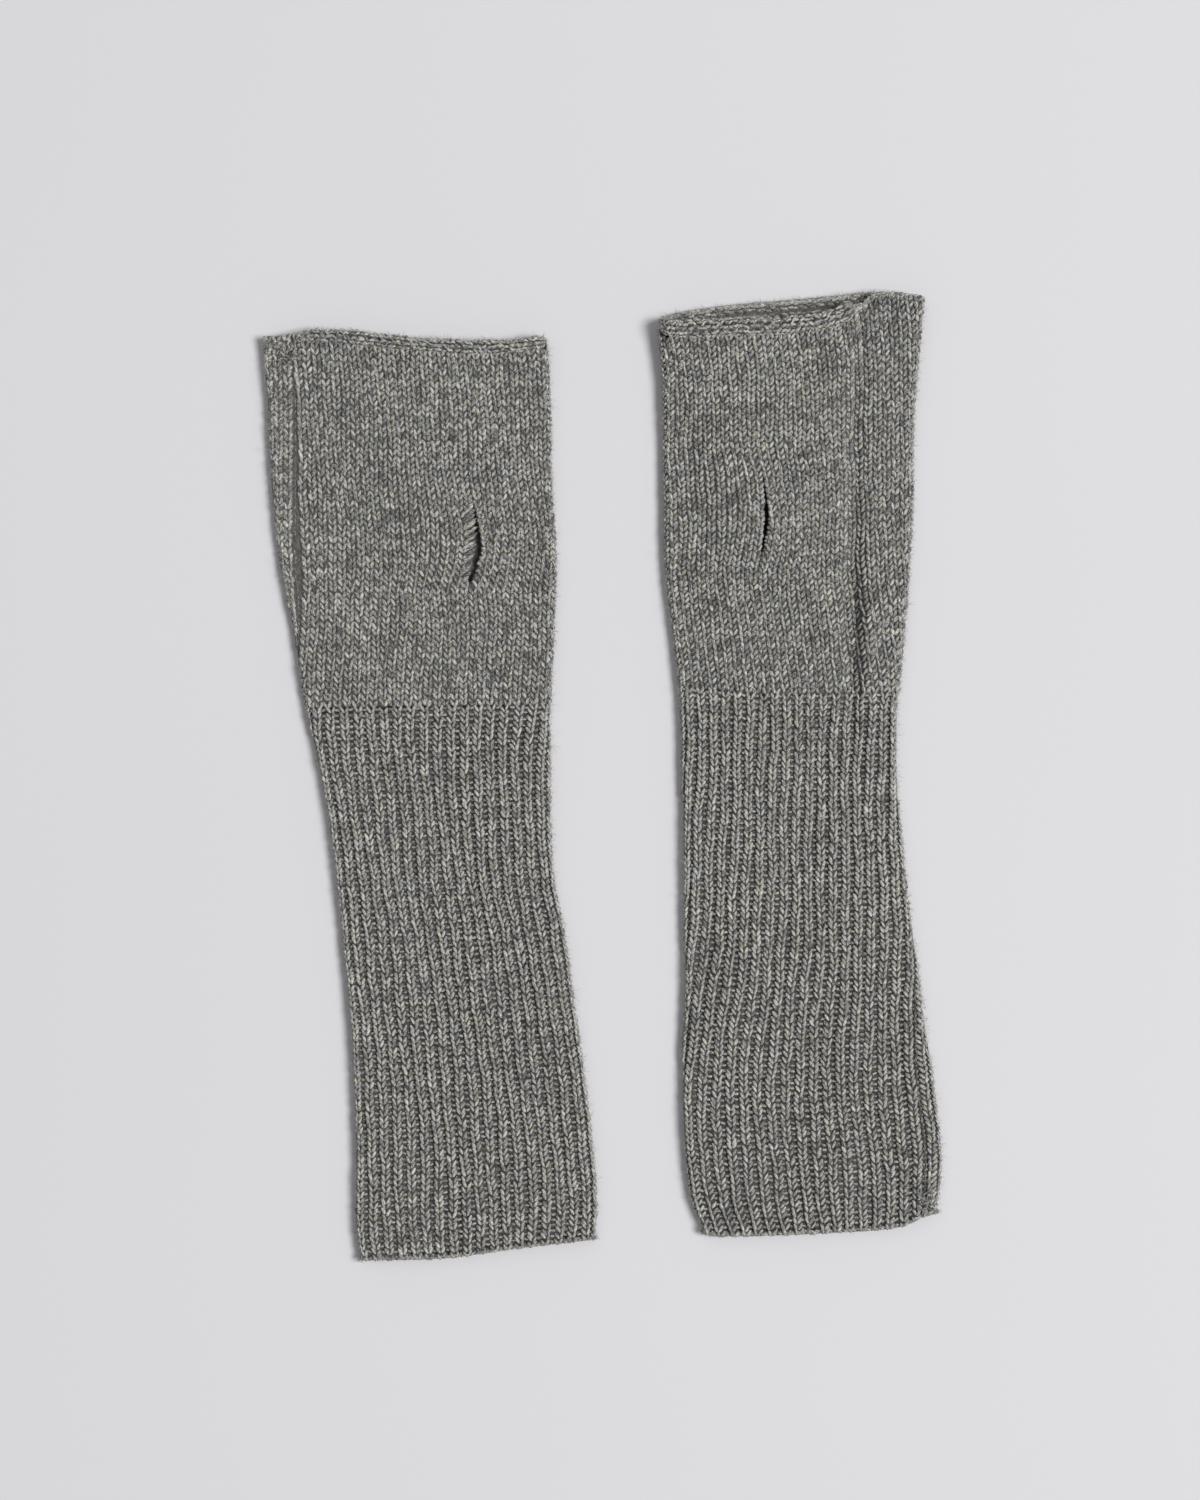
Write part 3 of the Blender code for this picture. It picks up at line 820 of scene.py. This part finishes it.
def cuff_stitches(side):
    """One by one rib: a column of stitches on each rib, all round the cuff."""
    courses = round(part_length(side, "cuff") / RIB_COURSE)
    along = (np.arange(courses) + 0.5) / courses
    rings = rings_of(side, "cuff", along)
    a = np.repeat(along[:, None], RIBS, axis=1)
    pitch = rings.length / RIBS
    w = rings.seam()[:, None] + (np.arange(RIBS)[None] + 0.5) * pitch[:, None]
    front = in_front(rings_of(side, "cuff", a), w)
    shade = knit_shades(courses, RIBS)
    at = surface(side, "cuff", a, w, CREST_DEPTH)
    lean = stitch_lean(at, 2.0) * 1.1
    scale = np.repeat((pitch / RIB_PITCH)[:, None], RIBS, axis=1)
    a = a + lean * 0.5 / part_length(side, "cuff")
    made = []
    for layer, chosen in (("front", front), ("back", ~front)):
        made.append(
            stitches(side, "cuff", layer, a[chosen], (w + lean)[chosen], shade[chosen], RIB_LEG,
                     (RIB_WIDTH, RIB_HEIGHT), scale[chosen])
        )
    return made


LIP_PITCH = 1.3
LIP_BARE = 0.62  # share of a curled lip that the columns leave bare
LIP_STROKE = [(0.0, 1.30), (0.25, 0.55), (0.55, 0.30), (0.82, 0.42), (1.0, 1.35)]  # (share across, depth)
LIP_SLOPE = 0.85
LIP_COVER = 1.0  # how much of the opening a curled lip covers
LIP_LEAST = 0.2  # no column is left out where the slit's half width is less
FLAT_LIP = (0.9, 0.3, 0.35, 0.40)  # an edge that doesn't curl: its reach, slope, cover and depth


def slit_lip(side):
    """The edge of the thumb slit: slanting stitches over its lips."""
    slit = WARMERS[side]["slit"]
    count = int(slit["length"] * 0.92 / LIP_PITCH)
    share, depth = np.array(LIP_STROKE).T
    heights = slit["y"] + slit["length"] * 0.46 * np.linspace(-1, 1, count)
    middle, half = slit_lens(slit, heights)
    bulge = np.clip(half / (slit["width"] / 2), 0, 1)
    spines, shades = [], []
    curled = slit["lip"] > 0
    for edge in (-1, 1):
        lip = edge < 0 and curled
        reach, slope, cover, sunk = (slit["lip"], LIP_SLOPE, LIP_COVER, 0.0) if lip else FLAT_LIP
        start = middle + edge * (half + reach * bulge + 0.5)
        end = middle + edge * (half - cover * bulge)
        px = lerp(start[:, None], end[:, None], share[None]) + scatter(count, 0.22)
        py = heights[:, None] + slope * reach * (share[None] - 0.6) + scatter(count, 0.25)
        rings = Rings(side, py)
        x, z, _ = rings.at(rings.round_to(rings.inset_of(px)), np.broadcast_to(depth + sunk, px.shape))
        spines.append(np.stack([x, py, z - creases(side, "front", x, py)], axis=-1))
        # Painted shade: the strokes are 0.12 darker for the shade at the slit's edge.
        shades.append(rng.normal(size=count) * 0.20 - 0.12)
    spines, shades = np.concatenate(spines), np.concatenate(shades)
    normals = facing_up(len(spines))
    return strands(f"{side}_slit_edge", spines, normals, 0.60, 0.52, 5, shades, (0.9, 1.0, 0.85))


# ---------------------------------------------------------------- rolled edges

ROLL_SIDES = 12
ROLL_STEPS = 90
PURL_ROW = 0.86  # from one row of purl bumps to the next, round the roll
PURL_ARCH = 0.50  # how far an arc's middle stands from its ends, up in one row and down in the next
PURL_TILT = 0.16  # how far an arc climbs round the roll along half its length, in radians
BACK_ROLL = 0.32  # the back layer's roll is this much thinner, and keeps its free side's line
ROLL_START = {"left": 0.6, "right": 0.3}  # how thin the roll starts beside the seam or the corner


def roll_frame(side, ways):
    """Along the rolled edge: its middle points, and the directions out of the cloth and up the hand."""
    roll = WARMERS[side]["roll"]
    top = WARMERS[side]["sections"][0][0]
    ring = Rings(side, np.full(ways.shape, float(top)), mouth=roll["mouth"])
    x_mid, z_mid, share = ring.at(ways, roll["height"] / 2)
    x_out, z_out, _ = ring.at(ways, 0.0)
    y_mid = rim_y(side, x_mid, share)
    middle = np.stack([x_mid, y_mid, z_mid], axis=-1)
    out = np.stack([x_out - x_mid, 0 * x_mid, z_out - z_mid], axis=-1)
    return middle, unit(out), share


def roll_range(side):
    warmer = WARMERS[side]
    top = float(warmer["sections"][0][0])
    ring = Rings(side, top, mouth=warmer["roll"]["mouth"])
    if warmer["corner"] is None:
        lay = Rings(side, top)
        start = float(lay.seam() + SEAM_WIDTH / 2 + ring.round_to(0) - lay.round_to(0))
    else:
        start = float(ring.round_to(warmer["corner"])) + 1.0
    return start, float(ring.near_fold)


def roll_size(side, ways):
    """Half width and half height of the roll, which thins out towards both of its ends."""
    roll = WARMERS[side]["roll"]
    start, stop = roll_range(side)
    thin = lerp(ROLL_START[side], 1.0, ease((ways - start) / 7.0))
    thin = thin * (0.6 + 0.4 * ease((stop - ways) / 6.0))
    thin = thin * lerp(BACK_ROLL, 1.0, roll_frame(side, ways)[2])
    wobble = 1 + 0.04 * np.sin(ways * 0.43) + 0.035 * np.sin(ways * 0.19 + 1.0) + 0.03 * np.sin(ways * 0.97)
    return roll["width"] / 2 * thin * wobble, roll["height"] / 2 * thin * wobble


def roll_point(side, ways, turn, inset):
    """Points on the roll's surface, turned from the outward direction towards the hand, inset mm in."""
    middle, out, share = roll_frame(side, ways)
    half_width, half_height = roll_size(side, ways)
    up = np.array([0.0, 1.0, 0.0])
    middle = middle + up * ((1 - BACK_ROLL) * (1 - share) * WARMERS[side]["roll"]["width"] / 2)[..., None]
    wide = np.maximum(half_width - inset, 0.1)
    high = np.maximum(half_height - inset, 0.1)
    points = middle + out * (np.cos(turn) * high)[..., None] - up * (np.sin(turn) * wide)[..., None]
    points[..., 2] = np.maximum(points[..., 2], REST)
    return points


def roll_cloth(side):
    start, stop = roll_range(side)
    ways = np.repeat(np.linspace(start, stop, ROLL_STEPS)[:, None], ROLL_SIDES, axis=1)
    turn = np.repeat((2 * math.pi * np.arange(ROLL_SIDES) / ROLL_SIDES)[None], ROLL_STEPS, axis=0)
    skin = roll_point(side, ways, turn, 0.62)
    ends = [skin[0].mean(axis=0), skin[-1].mean(axis=0)]
    points = np.concatenate([skin.reshape(-1, 3), np.array(ends)])
    number, right, quads = band_quads(ROLL_STEPS, ROLL_SIDES)
    first, last = len(points) - 2, len(points) - 1
    caps = np.concatenate(
        [
            np.stack([right[0], number[0], np.full(ROLL_SIDES, first)], axis=-1),
            np.stack([number[-1], right[-1], np.full(ROLL_SIDES, last)], axis=-1),
        ]
    )
    if WARMERS[side]["seam_side"] > 0:
        quads, caps = quads[:, ::-1], caps[:, ::-1]
    corners = np.concatenate([quads.ravel(), caps.ravel()])
    counts = np.concatenate([np.full(len(quads), 4), np.full(len(caps), 3)])
    skin_fabric = np.stack([ways, turn * 2.2, 0 * turn], axis=-1).reshape(-1, 3)
    fabric = np.concatenate([skin_fabric, np.zeros((2, 3))])
    return mesh_object(f"{side}_roll_cloth", points, corners, counts, attributes={"fabric": fabric})


def roll_stitches(side):
    """The purl side all round the roll: a row of arches and a row of hollows to each course, set half
    a stitch apart, so that the rows lock into each other."""
    roll = WARMERS[side]["roll"]
    start, stop = roll_range(side)
    per_row = round((stop - start) / WALE)
    pitch = (stop - start) / per_row
    radius = (roll["width"] + roll["height"]) / 4
    rows = round(2 * math.pi * radius / PURL_ROW / 2) * 2
    t = np.array([-1.0, -0.5, 0.0, 0.5, 1.0])
    spines, normals, shades = [], [], []
    for row in range(rows):
        turn = 2 * math.pi * (row + 0.5) / rows
        arch = PURL_ARCH / radius * (1 if row % 2 else -1)
        places = np.arange(per_row) + 0.5 * (row % 2) + 0.25
        centre = start + places * pitch + rng.normal(size=per_row) * 0.28
        ways = centre[:, None] + t[None] * (pitch * 0.42)
        ways = np.clip(ways, start - 0.3, stop + 0.3)
        slant = PURL_TILT * (0.6 + 1.5 * rng.normal(size=(per_row, 1)))
        turns = turn + arch * (1 - 2 * t[None] ** 2) + slant * t[None] + scatter(per_row, 0.07)
        inset = np.array([1.15, 0.58, 0.34, 0.58, 1.15])[None] + scatter(per_row, 0.14)
        spines.append(roll_point(side, ways, turns, inset + 0 * ways))
        core = roll_point(side, ways, turns, inset + 0.4)
        normals.append(unit(spines[-1] - core))
        shades.append(rng.normal(size=per_row) * 0.20)
    spines, normals, shades = (np.concatenate(x) for x in (spines, normals, shades))
    width = 0.53 * (1 + 0.15 * rng.normal(size=len(spines)))
    return strands(f"{side}_roll_stitches", spines, normals, width, 0.44, 4, shades, (0.9, 1.0, 0.9))


MOUTH_COURSES = 5


def mouth_purl(side):
    """The back layer's purl side, where the open end shows it."""
    length = part_length(side, "hand")
    spines, normals = [], []
    t = np.array([-1.0, -0.4, 0.4, 1.0])
    for row in range(2 * MOUTH_COURSES):
        up = 1.0 - (0.6 + row * COURSE / 2) / length
        rings = rings_of(side, "hand", up)
        count = round(float(rings.near_fold - rings.far_tip) / WALE)
        pitch = float(rings.near_fold - rings.far_tip) / count
        centre = float(rings.far_tip) + (np.arange(count) + 0.25 + 0.5 * (row % 2)) * pitch
        arch = 0.4 if row % 2 else -0.4
        ways = centre[:, None] + t[None] * pitch * 0.45 + scatter(count, 0.15)
        ups = up + (arch * (1 - 2 * t[None] ** 2) + scatter(count, 0.15)) / length
        ups = np.minimum(ups + 0 * ways, 1.0)
        depth = HAND_DEPTH + HAND_WALL + np.array([-0.5, 0.22, 0.22, -0.5])[None] + scatter(count, 0.08)
        depth = depth + 0 * ways
        spines.append(surface(side, "hand", ups, ways, depth))
        normals.append(-outward(side, "hand", ups, ways, depth))
    spines, normals = np.concatenate(spines), np.concatenate(normals)
    # Painted shade: 0.10 darker for the shade inside the open end.
    shades = rng.normal(size=len(spines)) * 0.2 - 0.10
    return strands(f"{side}_mouth_purl", spines, normals, 0.46, 0.42, 4, shades, (1.0, 1.0))


# ---------------------------------------------------------------- side seams


def seam_cloth(side):
    """The linked seam as a narrow sunken strip from the hem to the free edge."""
    rows = []
    for part, count in (("cuff", 60), ("hand", 44)):
        along = np.linspace(0.0 if part == "cuff" else 0.012, 1.0, count)
        rings = rings_of(side, part, along)
        for offset, depth in ((-0.6, 1.35), (0.0, 1.20), (0.6, 1.35), (0.6, 2.0), (-0.6, 2.0)):
            rows.append((part, offset, surface(side, part, along, rings.seam() + offset, depth)))
    strips = [np.concatenate([rows[k][2], rows[k + 5][2]]) for k in range(5)]
    grid = np.stack(strips, axis=1)
    n, m = grid.shape[:2]
    number, _, quads = band_quads(n, m)
    corners = np.concatenate([quads.ravel(), number[0][::-1], number[-1]])
    counts = np.array([4] * len(quads) + [m, m])
    if WARMERS[side]["seam_side"] < 0:
        corners = np.concatenate([quads[:, ::-1].ravel(), number[0], number[-1][::-1]])
    points = grid.reshape(-1, 3)
    fabric = np.concatenate([points[:, :2], np.zeros((n * m, 1))], axis=1)
    return mesh_object(f"{side}_side_seam_cloth", points, corners, counts, attributes={"fabric": fabric})


def seam_stitches(side):
    """Small chain links that lie in the seam."""
    spines, normals = [], []
    for part, pitch in (("cuff", RIB_COURSE), ("hand", COURSE)):
        count = int(part_length(side, part) / pitch)
        along = (np.arange(count) + 0.5) / count
        t = np.array([-1.0, -0.5, 0.1, 0.6, 1.0])
        length = part_length(side, part)
        for hand in (-1, 1):
            up = np.clip(along[:, None] + t[None] * 1.25 / length, 0.0, 1.0)
            rings = rings_of(side, part, up)
            across = rings.seam() + hand * 0.34 * t[None] + scatter(count, 0.08)
            deep = np.array([1.5, 1.05, 0.92, 1.05, 1.5])[None] + scatter(count, 0.09)
            spines.append(surface(side, part, up, across, deep))
            normals.append(outward(side, part, up, across, deep + 0 * up))
    spines, normals = np.concatenate(spines), np.concatenate(normals)
    # Painted shade: the links are 0.34 darker for the shade in the seam's sunken groove.
    shades = rng.normal(size=len(spines)) * 0.18 - 0.34
    return strands(f"{side}_seam_stitches", spines, normals, 0.28, 0.26, 4, shades, (0.85, 1.0, 0.85))


# Where the seam's yarn is fastened off: (side, x, y, spread across, spread up), in the tables' mm.
KNOTS = [
    ("left", -99.3, 137.6, 4.2, 3.0),
    ("right", 105.2, -137.5, 2.6, 3.2),
]


def knot(side, x, y, spread_x, spread_y):
    """A small tangle of yarn ends worked into the cloth."""
    count = 46
    px = x + rng.uniform(-1, 1, count) * spread_x
    py = y + rng.uniform(-1, 1, count) * spread_y
    turn = rng.uniform(0, math.pi, count)
    t = np.linspace(-1, 1, 5)
    reach = rng.uniform(0.9, 1.7, count)[:, None]
    along_x = px[:, None] + np.cos(turn)[:, None] * t[None] * reach
    along_y = py[:, None] + np.sin(turn)[:, None] * t[None] * reach
    rings = Rings(side, along_y)
    inset = np.maximum(rings.inset_of(along_x), 0.8)
    depth = np.array([1.1, 0.25, -0.05, 0.25, 1.1])[None] + scatter(count, 0.18)
    x3, z3, _ = rings.at(rings.round_to(inset), depth)
    spines = np.stack([x3, along_y, z3], axis=-1)
    shades = rng.normal(size=count) * 0.16 - 0.06
    return strands(f"{side}_seam_knot", spines, facing_up(count), 0.36, 0.32, 4, shades)


# ---------------------------------------------------------------- loose fibres

FIBRES = 5800  # on each warmer
FIBRE_WIDTH = 0.055


def fuzz(side):
    """Fine fibres that stand off the yarn, most of them near the folds and the open ends."""
    spines = []
    for part, share in (("hand", 0.36), ("cuff", 0.42)):
        count = int(FIBRES * share)
        along = rng.uniform(0, 1, count)
        if part == "cuff":
            at_hem = rng.random(count) < 0.16
            along = np.where(at_hem, rng.uniform(0, 0.006, count), along)
        rings = rings_of(side, part, along)
        near_fold = rng.random(count) < 0.52
        fold = np.where(rng.random(count) < 0.5, 0.0, rings.far_tip)
        by_fold = fold + rng.normal(size=count) * 1.6
        anywhere = rng.uniform(0, 1, count) * rings.far_tip
        way = np.where(near_fold, by_fold, anywhere)
        root = surface(side, part, along, way, 0.35)
        normal = outward(side, part, along, way, 0.35)
        spines.append(fibre_spines(root, normal))
    start, stop = roll_range(side)
    count = int(FIBRES * 0.22)
    ways = rng.uniform(start, stop, count)
    turn = rng.uniform(-math.pi, 0.3, count)
    root = roll_point(side, ways, turn, np.full(count, 0.3))
    normal = unit(root - roll_point(side, ways, turn, np.full(count, 0.8)))
    spines.append(fibre_spines(root, normal))
    spines = np.concatenate(spines)
    spines[..., 2] = np.maximum(spines[..., 2], 0.12)
    shades = rng.normal(size=len(spines)) * 0.15 + 0.2
    normals = facing_up(len(spines))
    return strands(f"{side}_loose_fibres", spines, normals, FIBRE_WIDTH, FIBRE_WIDTH, 3, shades, (1.0, 0.8))


def fibre_spines(root, normal):
    """Curved fibres of four points from their roots, leaning away from the cloth."""
    count = len(root)
    stray = unit(rng.normal(size=(count, 3)))
    sideways = unit(stray - normal * (stray * normal).sum(axis=1, keepdims=True))
    lean = rng.uniform(0.35, 1.1, count)[:, None]
    first = unit(sideways * lean + normal)
    curl = unit(rng.normal(size=(count, 3)))
    length = rng.gamma(3.0, 0.36, count)[:, None]
    steps = [root]
    heading = first
    for _ in range(3):
        steps.append(steps[-1] + heading * length / 3)
        heading = unit(heading + 0.55 * curl)
    return np.stack(steps, axis=1)


# ---------------------------------------------------------------- materials


class Nodes:
    """A short way to add nodes to a material and join them."""

    def __init__(self, name):
        self.material = bpy.data.materials.new(name)
        self.material.use_nodes = True
        self.tree = self.material.node_tree
        self.shader = self.tree.nodes["Principled BSDF"]
        self.shader.inputs["Metallic"].default_value = 0.0
        self.shader.inputs["Roughness"].default_value = 0.95
        self.shader.inputs["Specular IOR Level"].default_value = 0.12

    def add(self, kind, settings=None, **inputs):
        node = self.tree.nodes.new(kind)
        for key, value in (settings or {}).items():
            setattr(node, key, value)
        for key, value in inputs.items():
            numbered = key[0] == "i" and key[1:].isdigit()
            socket = node.inputs[int(key[1:]) if numbered else key.replace("_", " ")]
            if isinstance(value, bpy.types.NodeSocket):
                self.tree.links.new(value, socket)
            else:
                socket.default_value = value
        return node

    def join(self, output, socket):
        self.tree.links.new(output, socket)

    def maths(self, operation, a, b=0.0, c=0.0):
        return self.add("ShaderNodeMath", {"operation": operation}, i0=a, i1=b, i2=c).outputs[0]

    def vary(self, value, amount, about):
        """about, moved by how far a noise's value is from its middle."""
        return self.maths("MULTIPLY_ADD", self.maths("SUBTRACT", value, 0.5), amount, about)

    def multiply(self, a, b):
        settings = {"data_type": "RGBA", "blend_type": "MULTIPLY"}
        return self.add("ShaderNodeMix", settings, i0=1.0, i6=a, i7=b).outputs[2]

    def ramp(self, value, stops):
        node = self.add("ShaderNodeValToRGB", i0=value)
        ramp = node.color_ramp
        while len(ramp.elements) < len(stops):
            ramp.elements.new(0.5)
        for element, (place, colour) in zip(ramp.elements, stops):
            element.position = place
            element.color = (*colour, 1.0)
        return node.outputs["Color"]

    def noise(self, vector, scale, detail=2.0, roughness=0.5):
        node = self.add("ShaderNodeTexNoise", Vector=vector, Scale=scale, Detail=detail, Roughness=roughness)
        return node.outputs["Fac"]


# The wool is a mixture of dark, mid and pale fibres (linear colours), from dark to pale.
WOOL = [
    (0.05, (0.040, 0.040, 0.041)),
    (0.27, (0.125, 0.123, 0.117)),
    (0.46, (0.255, 0.251, 0.234)),
    (0.66, (0.400, 0.394, 0.360)),
    (0.95, (0.660, 0.652, 0.600)),
]

# The cloth's colours between the stitches, made darker as painted shade there; the ribs' valleys darker
# still.
PLAIN_GROUND = (0.105, 0.103, 0.096)
RIB_GROUND = (0.072, 0.070, 0.066)


def yarn_material(name, offset=0.0, contrast=1.0, bump=0.5):
    """Two-ply wool yarn: fibres of the mixture run along it with a slight twist."""
    n = Nodes(name)
    yarn = n.add("ShaderNodeAttribute", {"attribute_name": "yarn"}).outputs["Vector"]
    shade = n.add("ShaderNodeAttribute", {"attribute_name": "shade"}).outputs["Fac"]
    split = n.add("ShaderNodeSeparateXYZ", Vector=yarn)
    twist = n.maths("MULTIPLY_ADD", split.outputs[1], 0.55, split.outputs[0])

    def on_yarn(across, along):
        """A place on the yarn at so many to a mm, across and along it."""
        x = n.maths("MULTIPLY", twist, across)
        y = n.maths("MULTIPLY", split.outputs[1], along)
        return n.add("ShaderNodeCombineXYZ", X=x, Y=y, Z=split.outputs[2]).outputs[0]

    streaks = n.noise(on_yarn(3.6, 0.9), 1.0, 3.0, 0.62)
    place = n.add("ShaderNodeNewGeometry").outputs["Position"]
    clumps = n.noise(place, 190.0, 2.0, 0.5)
    drift = n.noise(place, 26.0, 2.0, 0.5)
    mix = n.vary(streaks, 2.9 * contrast, 0.48 + offset)
    mix = n.maths("MULTIPLY_ADD", shade, 0.62 * contrast, mix)
    mix = n.vary(clumps, 0.22 * contrast, mix)
    mix = n.vary(drift, 0.12, mix)
    grain = n.noise(place, 2600.0, 2.0, 0.6)
    mix = n.vary(grain, 1.3 * contrast, mix)
    colour = n.ramp(mix, WOOL)
    hue_at = n.noise(place, 420.0, 1.0, 0.5)
    tint = n.ramp(hue_at, [(0.30, (0.96, 0.985, 1.05)), (0.5, (1.0, 1.0, 1.0)), (0.70, (1.05, 1.02, 0.92))])
    n.join(n.multiply(colour, tint), n.shader.inputs["Base Color"])
    fine = n.noise(on_yarn(6.5, 1.1), 1.0, 2.0, 0.6)
    relief = n.add("ShaderNodeBump", Strength=bump, Distance=0.0002, Height=fine)
    n.join(relief.outputs["Normal"], n.shader.inputs["Normal"])
    n.shader.inputs["Sheen Weight"].default_value = 0.25
    n.shader.inputs["Sheen Roughness"].default_value = 0.6
    n.shader.inputs["Sheen Tint"].default_value = (0.9, 0.9, 0.88, 1.0)
    return n.material


def ground_material(name, wale, course, colour):
    """The cloth between the stitches, darkened as painted shade, and the purl side inside the tube, darkened
    again as painted shade.
    """
    n = Nodes(name)
    fabric = n.add("ShaderNodeAttribute", {"attribute_name": "fabric"}).outputs["Vector"]
    split = n.add("ShaderNodeSeparateXYZ", Vector=fabric)
    across = n.maths("MULTIPLY", split.outputs[0], 2 * math.pi / wale)
    up = n.maths("MULTIPLY", split.outputs[1], 2 * math.pi / course)
    arcs = n.maths("ADD", up, n.maths("MULTIPLY", n.maths("SINE", across), 1.1))
    bumps = n.maths("SINE", arcs)
    place = n.add("ShaderNodeNewGeometry").outputs["Position"]
    wool = n.noise(place, 900.0, 3.0, 0.6)
    tone = n.maths("MULTIPLY_ADD", bumps, 0.12, wool)
    dark, mid, pale = (tuple(c * k for c in colour) for k in (0.45, 1.0, 1.75))
    shade = n.ramp(tone, [(0.25, dark), (0.5, mid), (0.78, pale)])
    # Painted shade: the inner wall, where the fabric's z is 1, is darkened to 0.55 for the shade inside the
    # tube.
    inner = n.ramp(split.outputs[2], [(0.0, (1.0, 1.0, 1.0)), (1.0, (0.55, 0.55, 0.55))])
    n.join(n.multiply(shade, inner), n.shader.inputs["Base Color"])
    height = n.maths("MULTIPLY_ADD", wool, 0.6, bumps)
    relief = n.add("ShaderNodeBump", Strength=0.7, Distance=0.0004, Height=height)
    n.join(relief.outputs["Normal"], n.shader.inputs["Normal"])
    return n.material


def fibre_material():
    n = Nodes("loose_wool_fibres")
    shade = n.add("ShaderNodeAttribute", {"attribute_name": "shade"}).outputs["Fac"]
    tone = n.maths("MULTIPLY_ADD", shade, 0.8, 0.4)
    colour = n.ramp(tone, [(0.0, (0.16, 0.16, 0.155)), (0.5, (0.36, 0.355, 0.33)), (1.0, (0.62, 0.61, 0.57))])
    n.join(colour, n.shader.inputs["Base Color"])
    return n.material


def floor_material():
    n = Nodes("pale_floor")
    place = n.add("ShaderNodeNewGeometry").outputs["Position"]
    soft = n.noise(place, 3.0, 2.0, 0.5)
    colour = n.ramp(soft, [(0.3, (0.680, 0.672, 0.690)), (0.7, (0.688, 0.680, 0.698))])
    n.join(colour, n.shader.inputs["Base Color"])
    n.shader.inputs["Roughness"].default_value = 0.9
    return n.material


# ---------------------------------------------------------------- the pair


def wear(obj, material):
    obj.data.materials.clear()
    obj.data.materials.append(material)
    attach(obj, "root")
    return obj


def dress(side, materials):
    plain, rib, rolled, seam, hand_ground, cuff_ground, fibre = materials
    hand = cloth(side, "hand")
    cut_slit(side, hand)
    wear(hand, hand_ground)
    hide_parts(f"{side}_hand")
    hand_parts = [wear(obj, plain) for obj in hand_stitches(side)]
    hand_parts.append(wear(slit_lip(side), plain))

    roll = wear(roll_cloth(side), hand_ground)
    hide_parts(f"{side}_rolled_edge")
    hand_parts += [roll, wear(roll_stitches(side), rolled)]
    hand_parts.append(wear(mouth_purl(side), plain))
    if WARMERS[side]["corner"] is not None:
        rim = rings_of(side, "hand", 1.0)
        corner = float(rim.round_to(WARMERS[side]["corner"]))
        hand_parts.append(wear(end_chain(side, "hand", -5.0, corner + 1.0), plain))

    cuff = wear(cloth(side, "cuff"), cuff_ground)
    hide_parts(f"{side}_cuff")
    cuff_parts = [wear(obj, rib) for obj in cuff_stitches(side)]
    cuff_parts.append(wear(purl_bumps(side), rib))
    hem = rings_of(side, "cuff", 0.0)
    hem_chain = end_chain(side, "cuff", float(hem.seam()), float(hem.seam() + hem.length))
    cuff_parts.append(wear(hem_chain, rib))

    strip = wear(seam_cloth(side), cuff_ground)
    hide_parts(f"{side}_side_seam")
    cuff_parts += [strip, wear(seam_stitches(side), seam)]
    cuff_parts += [wear(knot(*row), seam) for row in KNOTS if row[0] == side]
    hand_parts.append(wear(fuzz(side), fibre))


def make_floor():
    half = 3.0
    mesh = bpy.data.meshes.new("floor")
    corners = [(-half, -half, 0), (half, -half, 0), (half, half, 0), (-half, half, 0)]
    mesh.from_pydata(corners, [], [(0, 1, 2, 3)])
    mesh.materials.append(floor_material())
    floor = bpy.data.objects.new("floor", mesh)
    floor.location.z = -0.0001
    bpy.context.scene.collection.objects.link(floor)


CAMERA_AT = (-0.0006, 0.0085, 1.1513)
LENS = 85.0
SENSOR = 36.0


def make_camera():
    data = bpy.data.cameras.new("camera")
    data.lens = LENS
    data.sensor_width = SENSOR
    camera = bpy.data.objects.new("camera", data)
    camera.location = CAMERA_AT
    bpy.context.scene.collection.objects.link(camera)
    bpy.context.scene.camera = camera


LIGHTS = [
    # name, place in metres, size in metres, watts
    ("key", (2.35, -0.13, 4.15), 1.90, 196.0),
    ("fill", (-0.8, 0.8, 2.6), 2.6, 6.0),
]
SKY_COLOUR = (0.97, 0.96, 1.0, 1.0)
SKY_STRENGTH = 0.27


def make_lights():
    for name, place, size, watts in LIGHTS:
        data = bpy.data.lights.new(name, "AREA")
        data.shape = "DISK"
        data.size = size
        data.energy = watts
        light = bpy.data.objects.new(name, data)
        light.location = place
        light.rotation_euler = (Vector((0, 0, 0)) - Vector(place)).to_track_quat("-Z", "Y").to_euler()
        bpy.context.scene.collection.objects.link(light)
    world = bpy.data.worlds.new("studio")
    world.use_nodes = True
    world.node_tree.nodes["Background"].inputs["Color"].default_value = SKY_COLOUR
    world.node_tree.nodes["Background"].inputs["Strength"].default_value = SKY_STRENGTH
    bpy.context.scene.world = world


def main():
    scene = bpy.context.scene
    scene.view_settings.view_transform = "Standard"
    scene.view_settings.look = "None"
    make_camera()
    make_lights()
    make_floor()
    materials = (
        yarn_material("plain_knit_yarn", offset=0.025),
        yarn_material("rib_knit_yarn", offset=0.10, contrast=0.80),
        yarn_material("rolled_edge_yarn", offset=0.075),
        yarn_material("seam_yarn", offset=-0.08),
        ground_material("plain_knit_ground", WALE, COURSE, PLAIN_GROUND),
        ground_material("rib_knit_ground", RIB_PITCH, RIB_COURSE, RIB_GROUND),
        fibre_material(),
    )
    for side in WARMERS:
        dress(side, materials)


main()
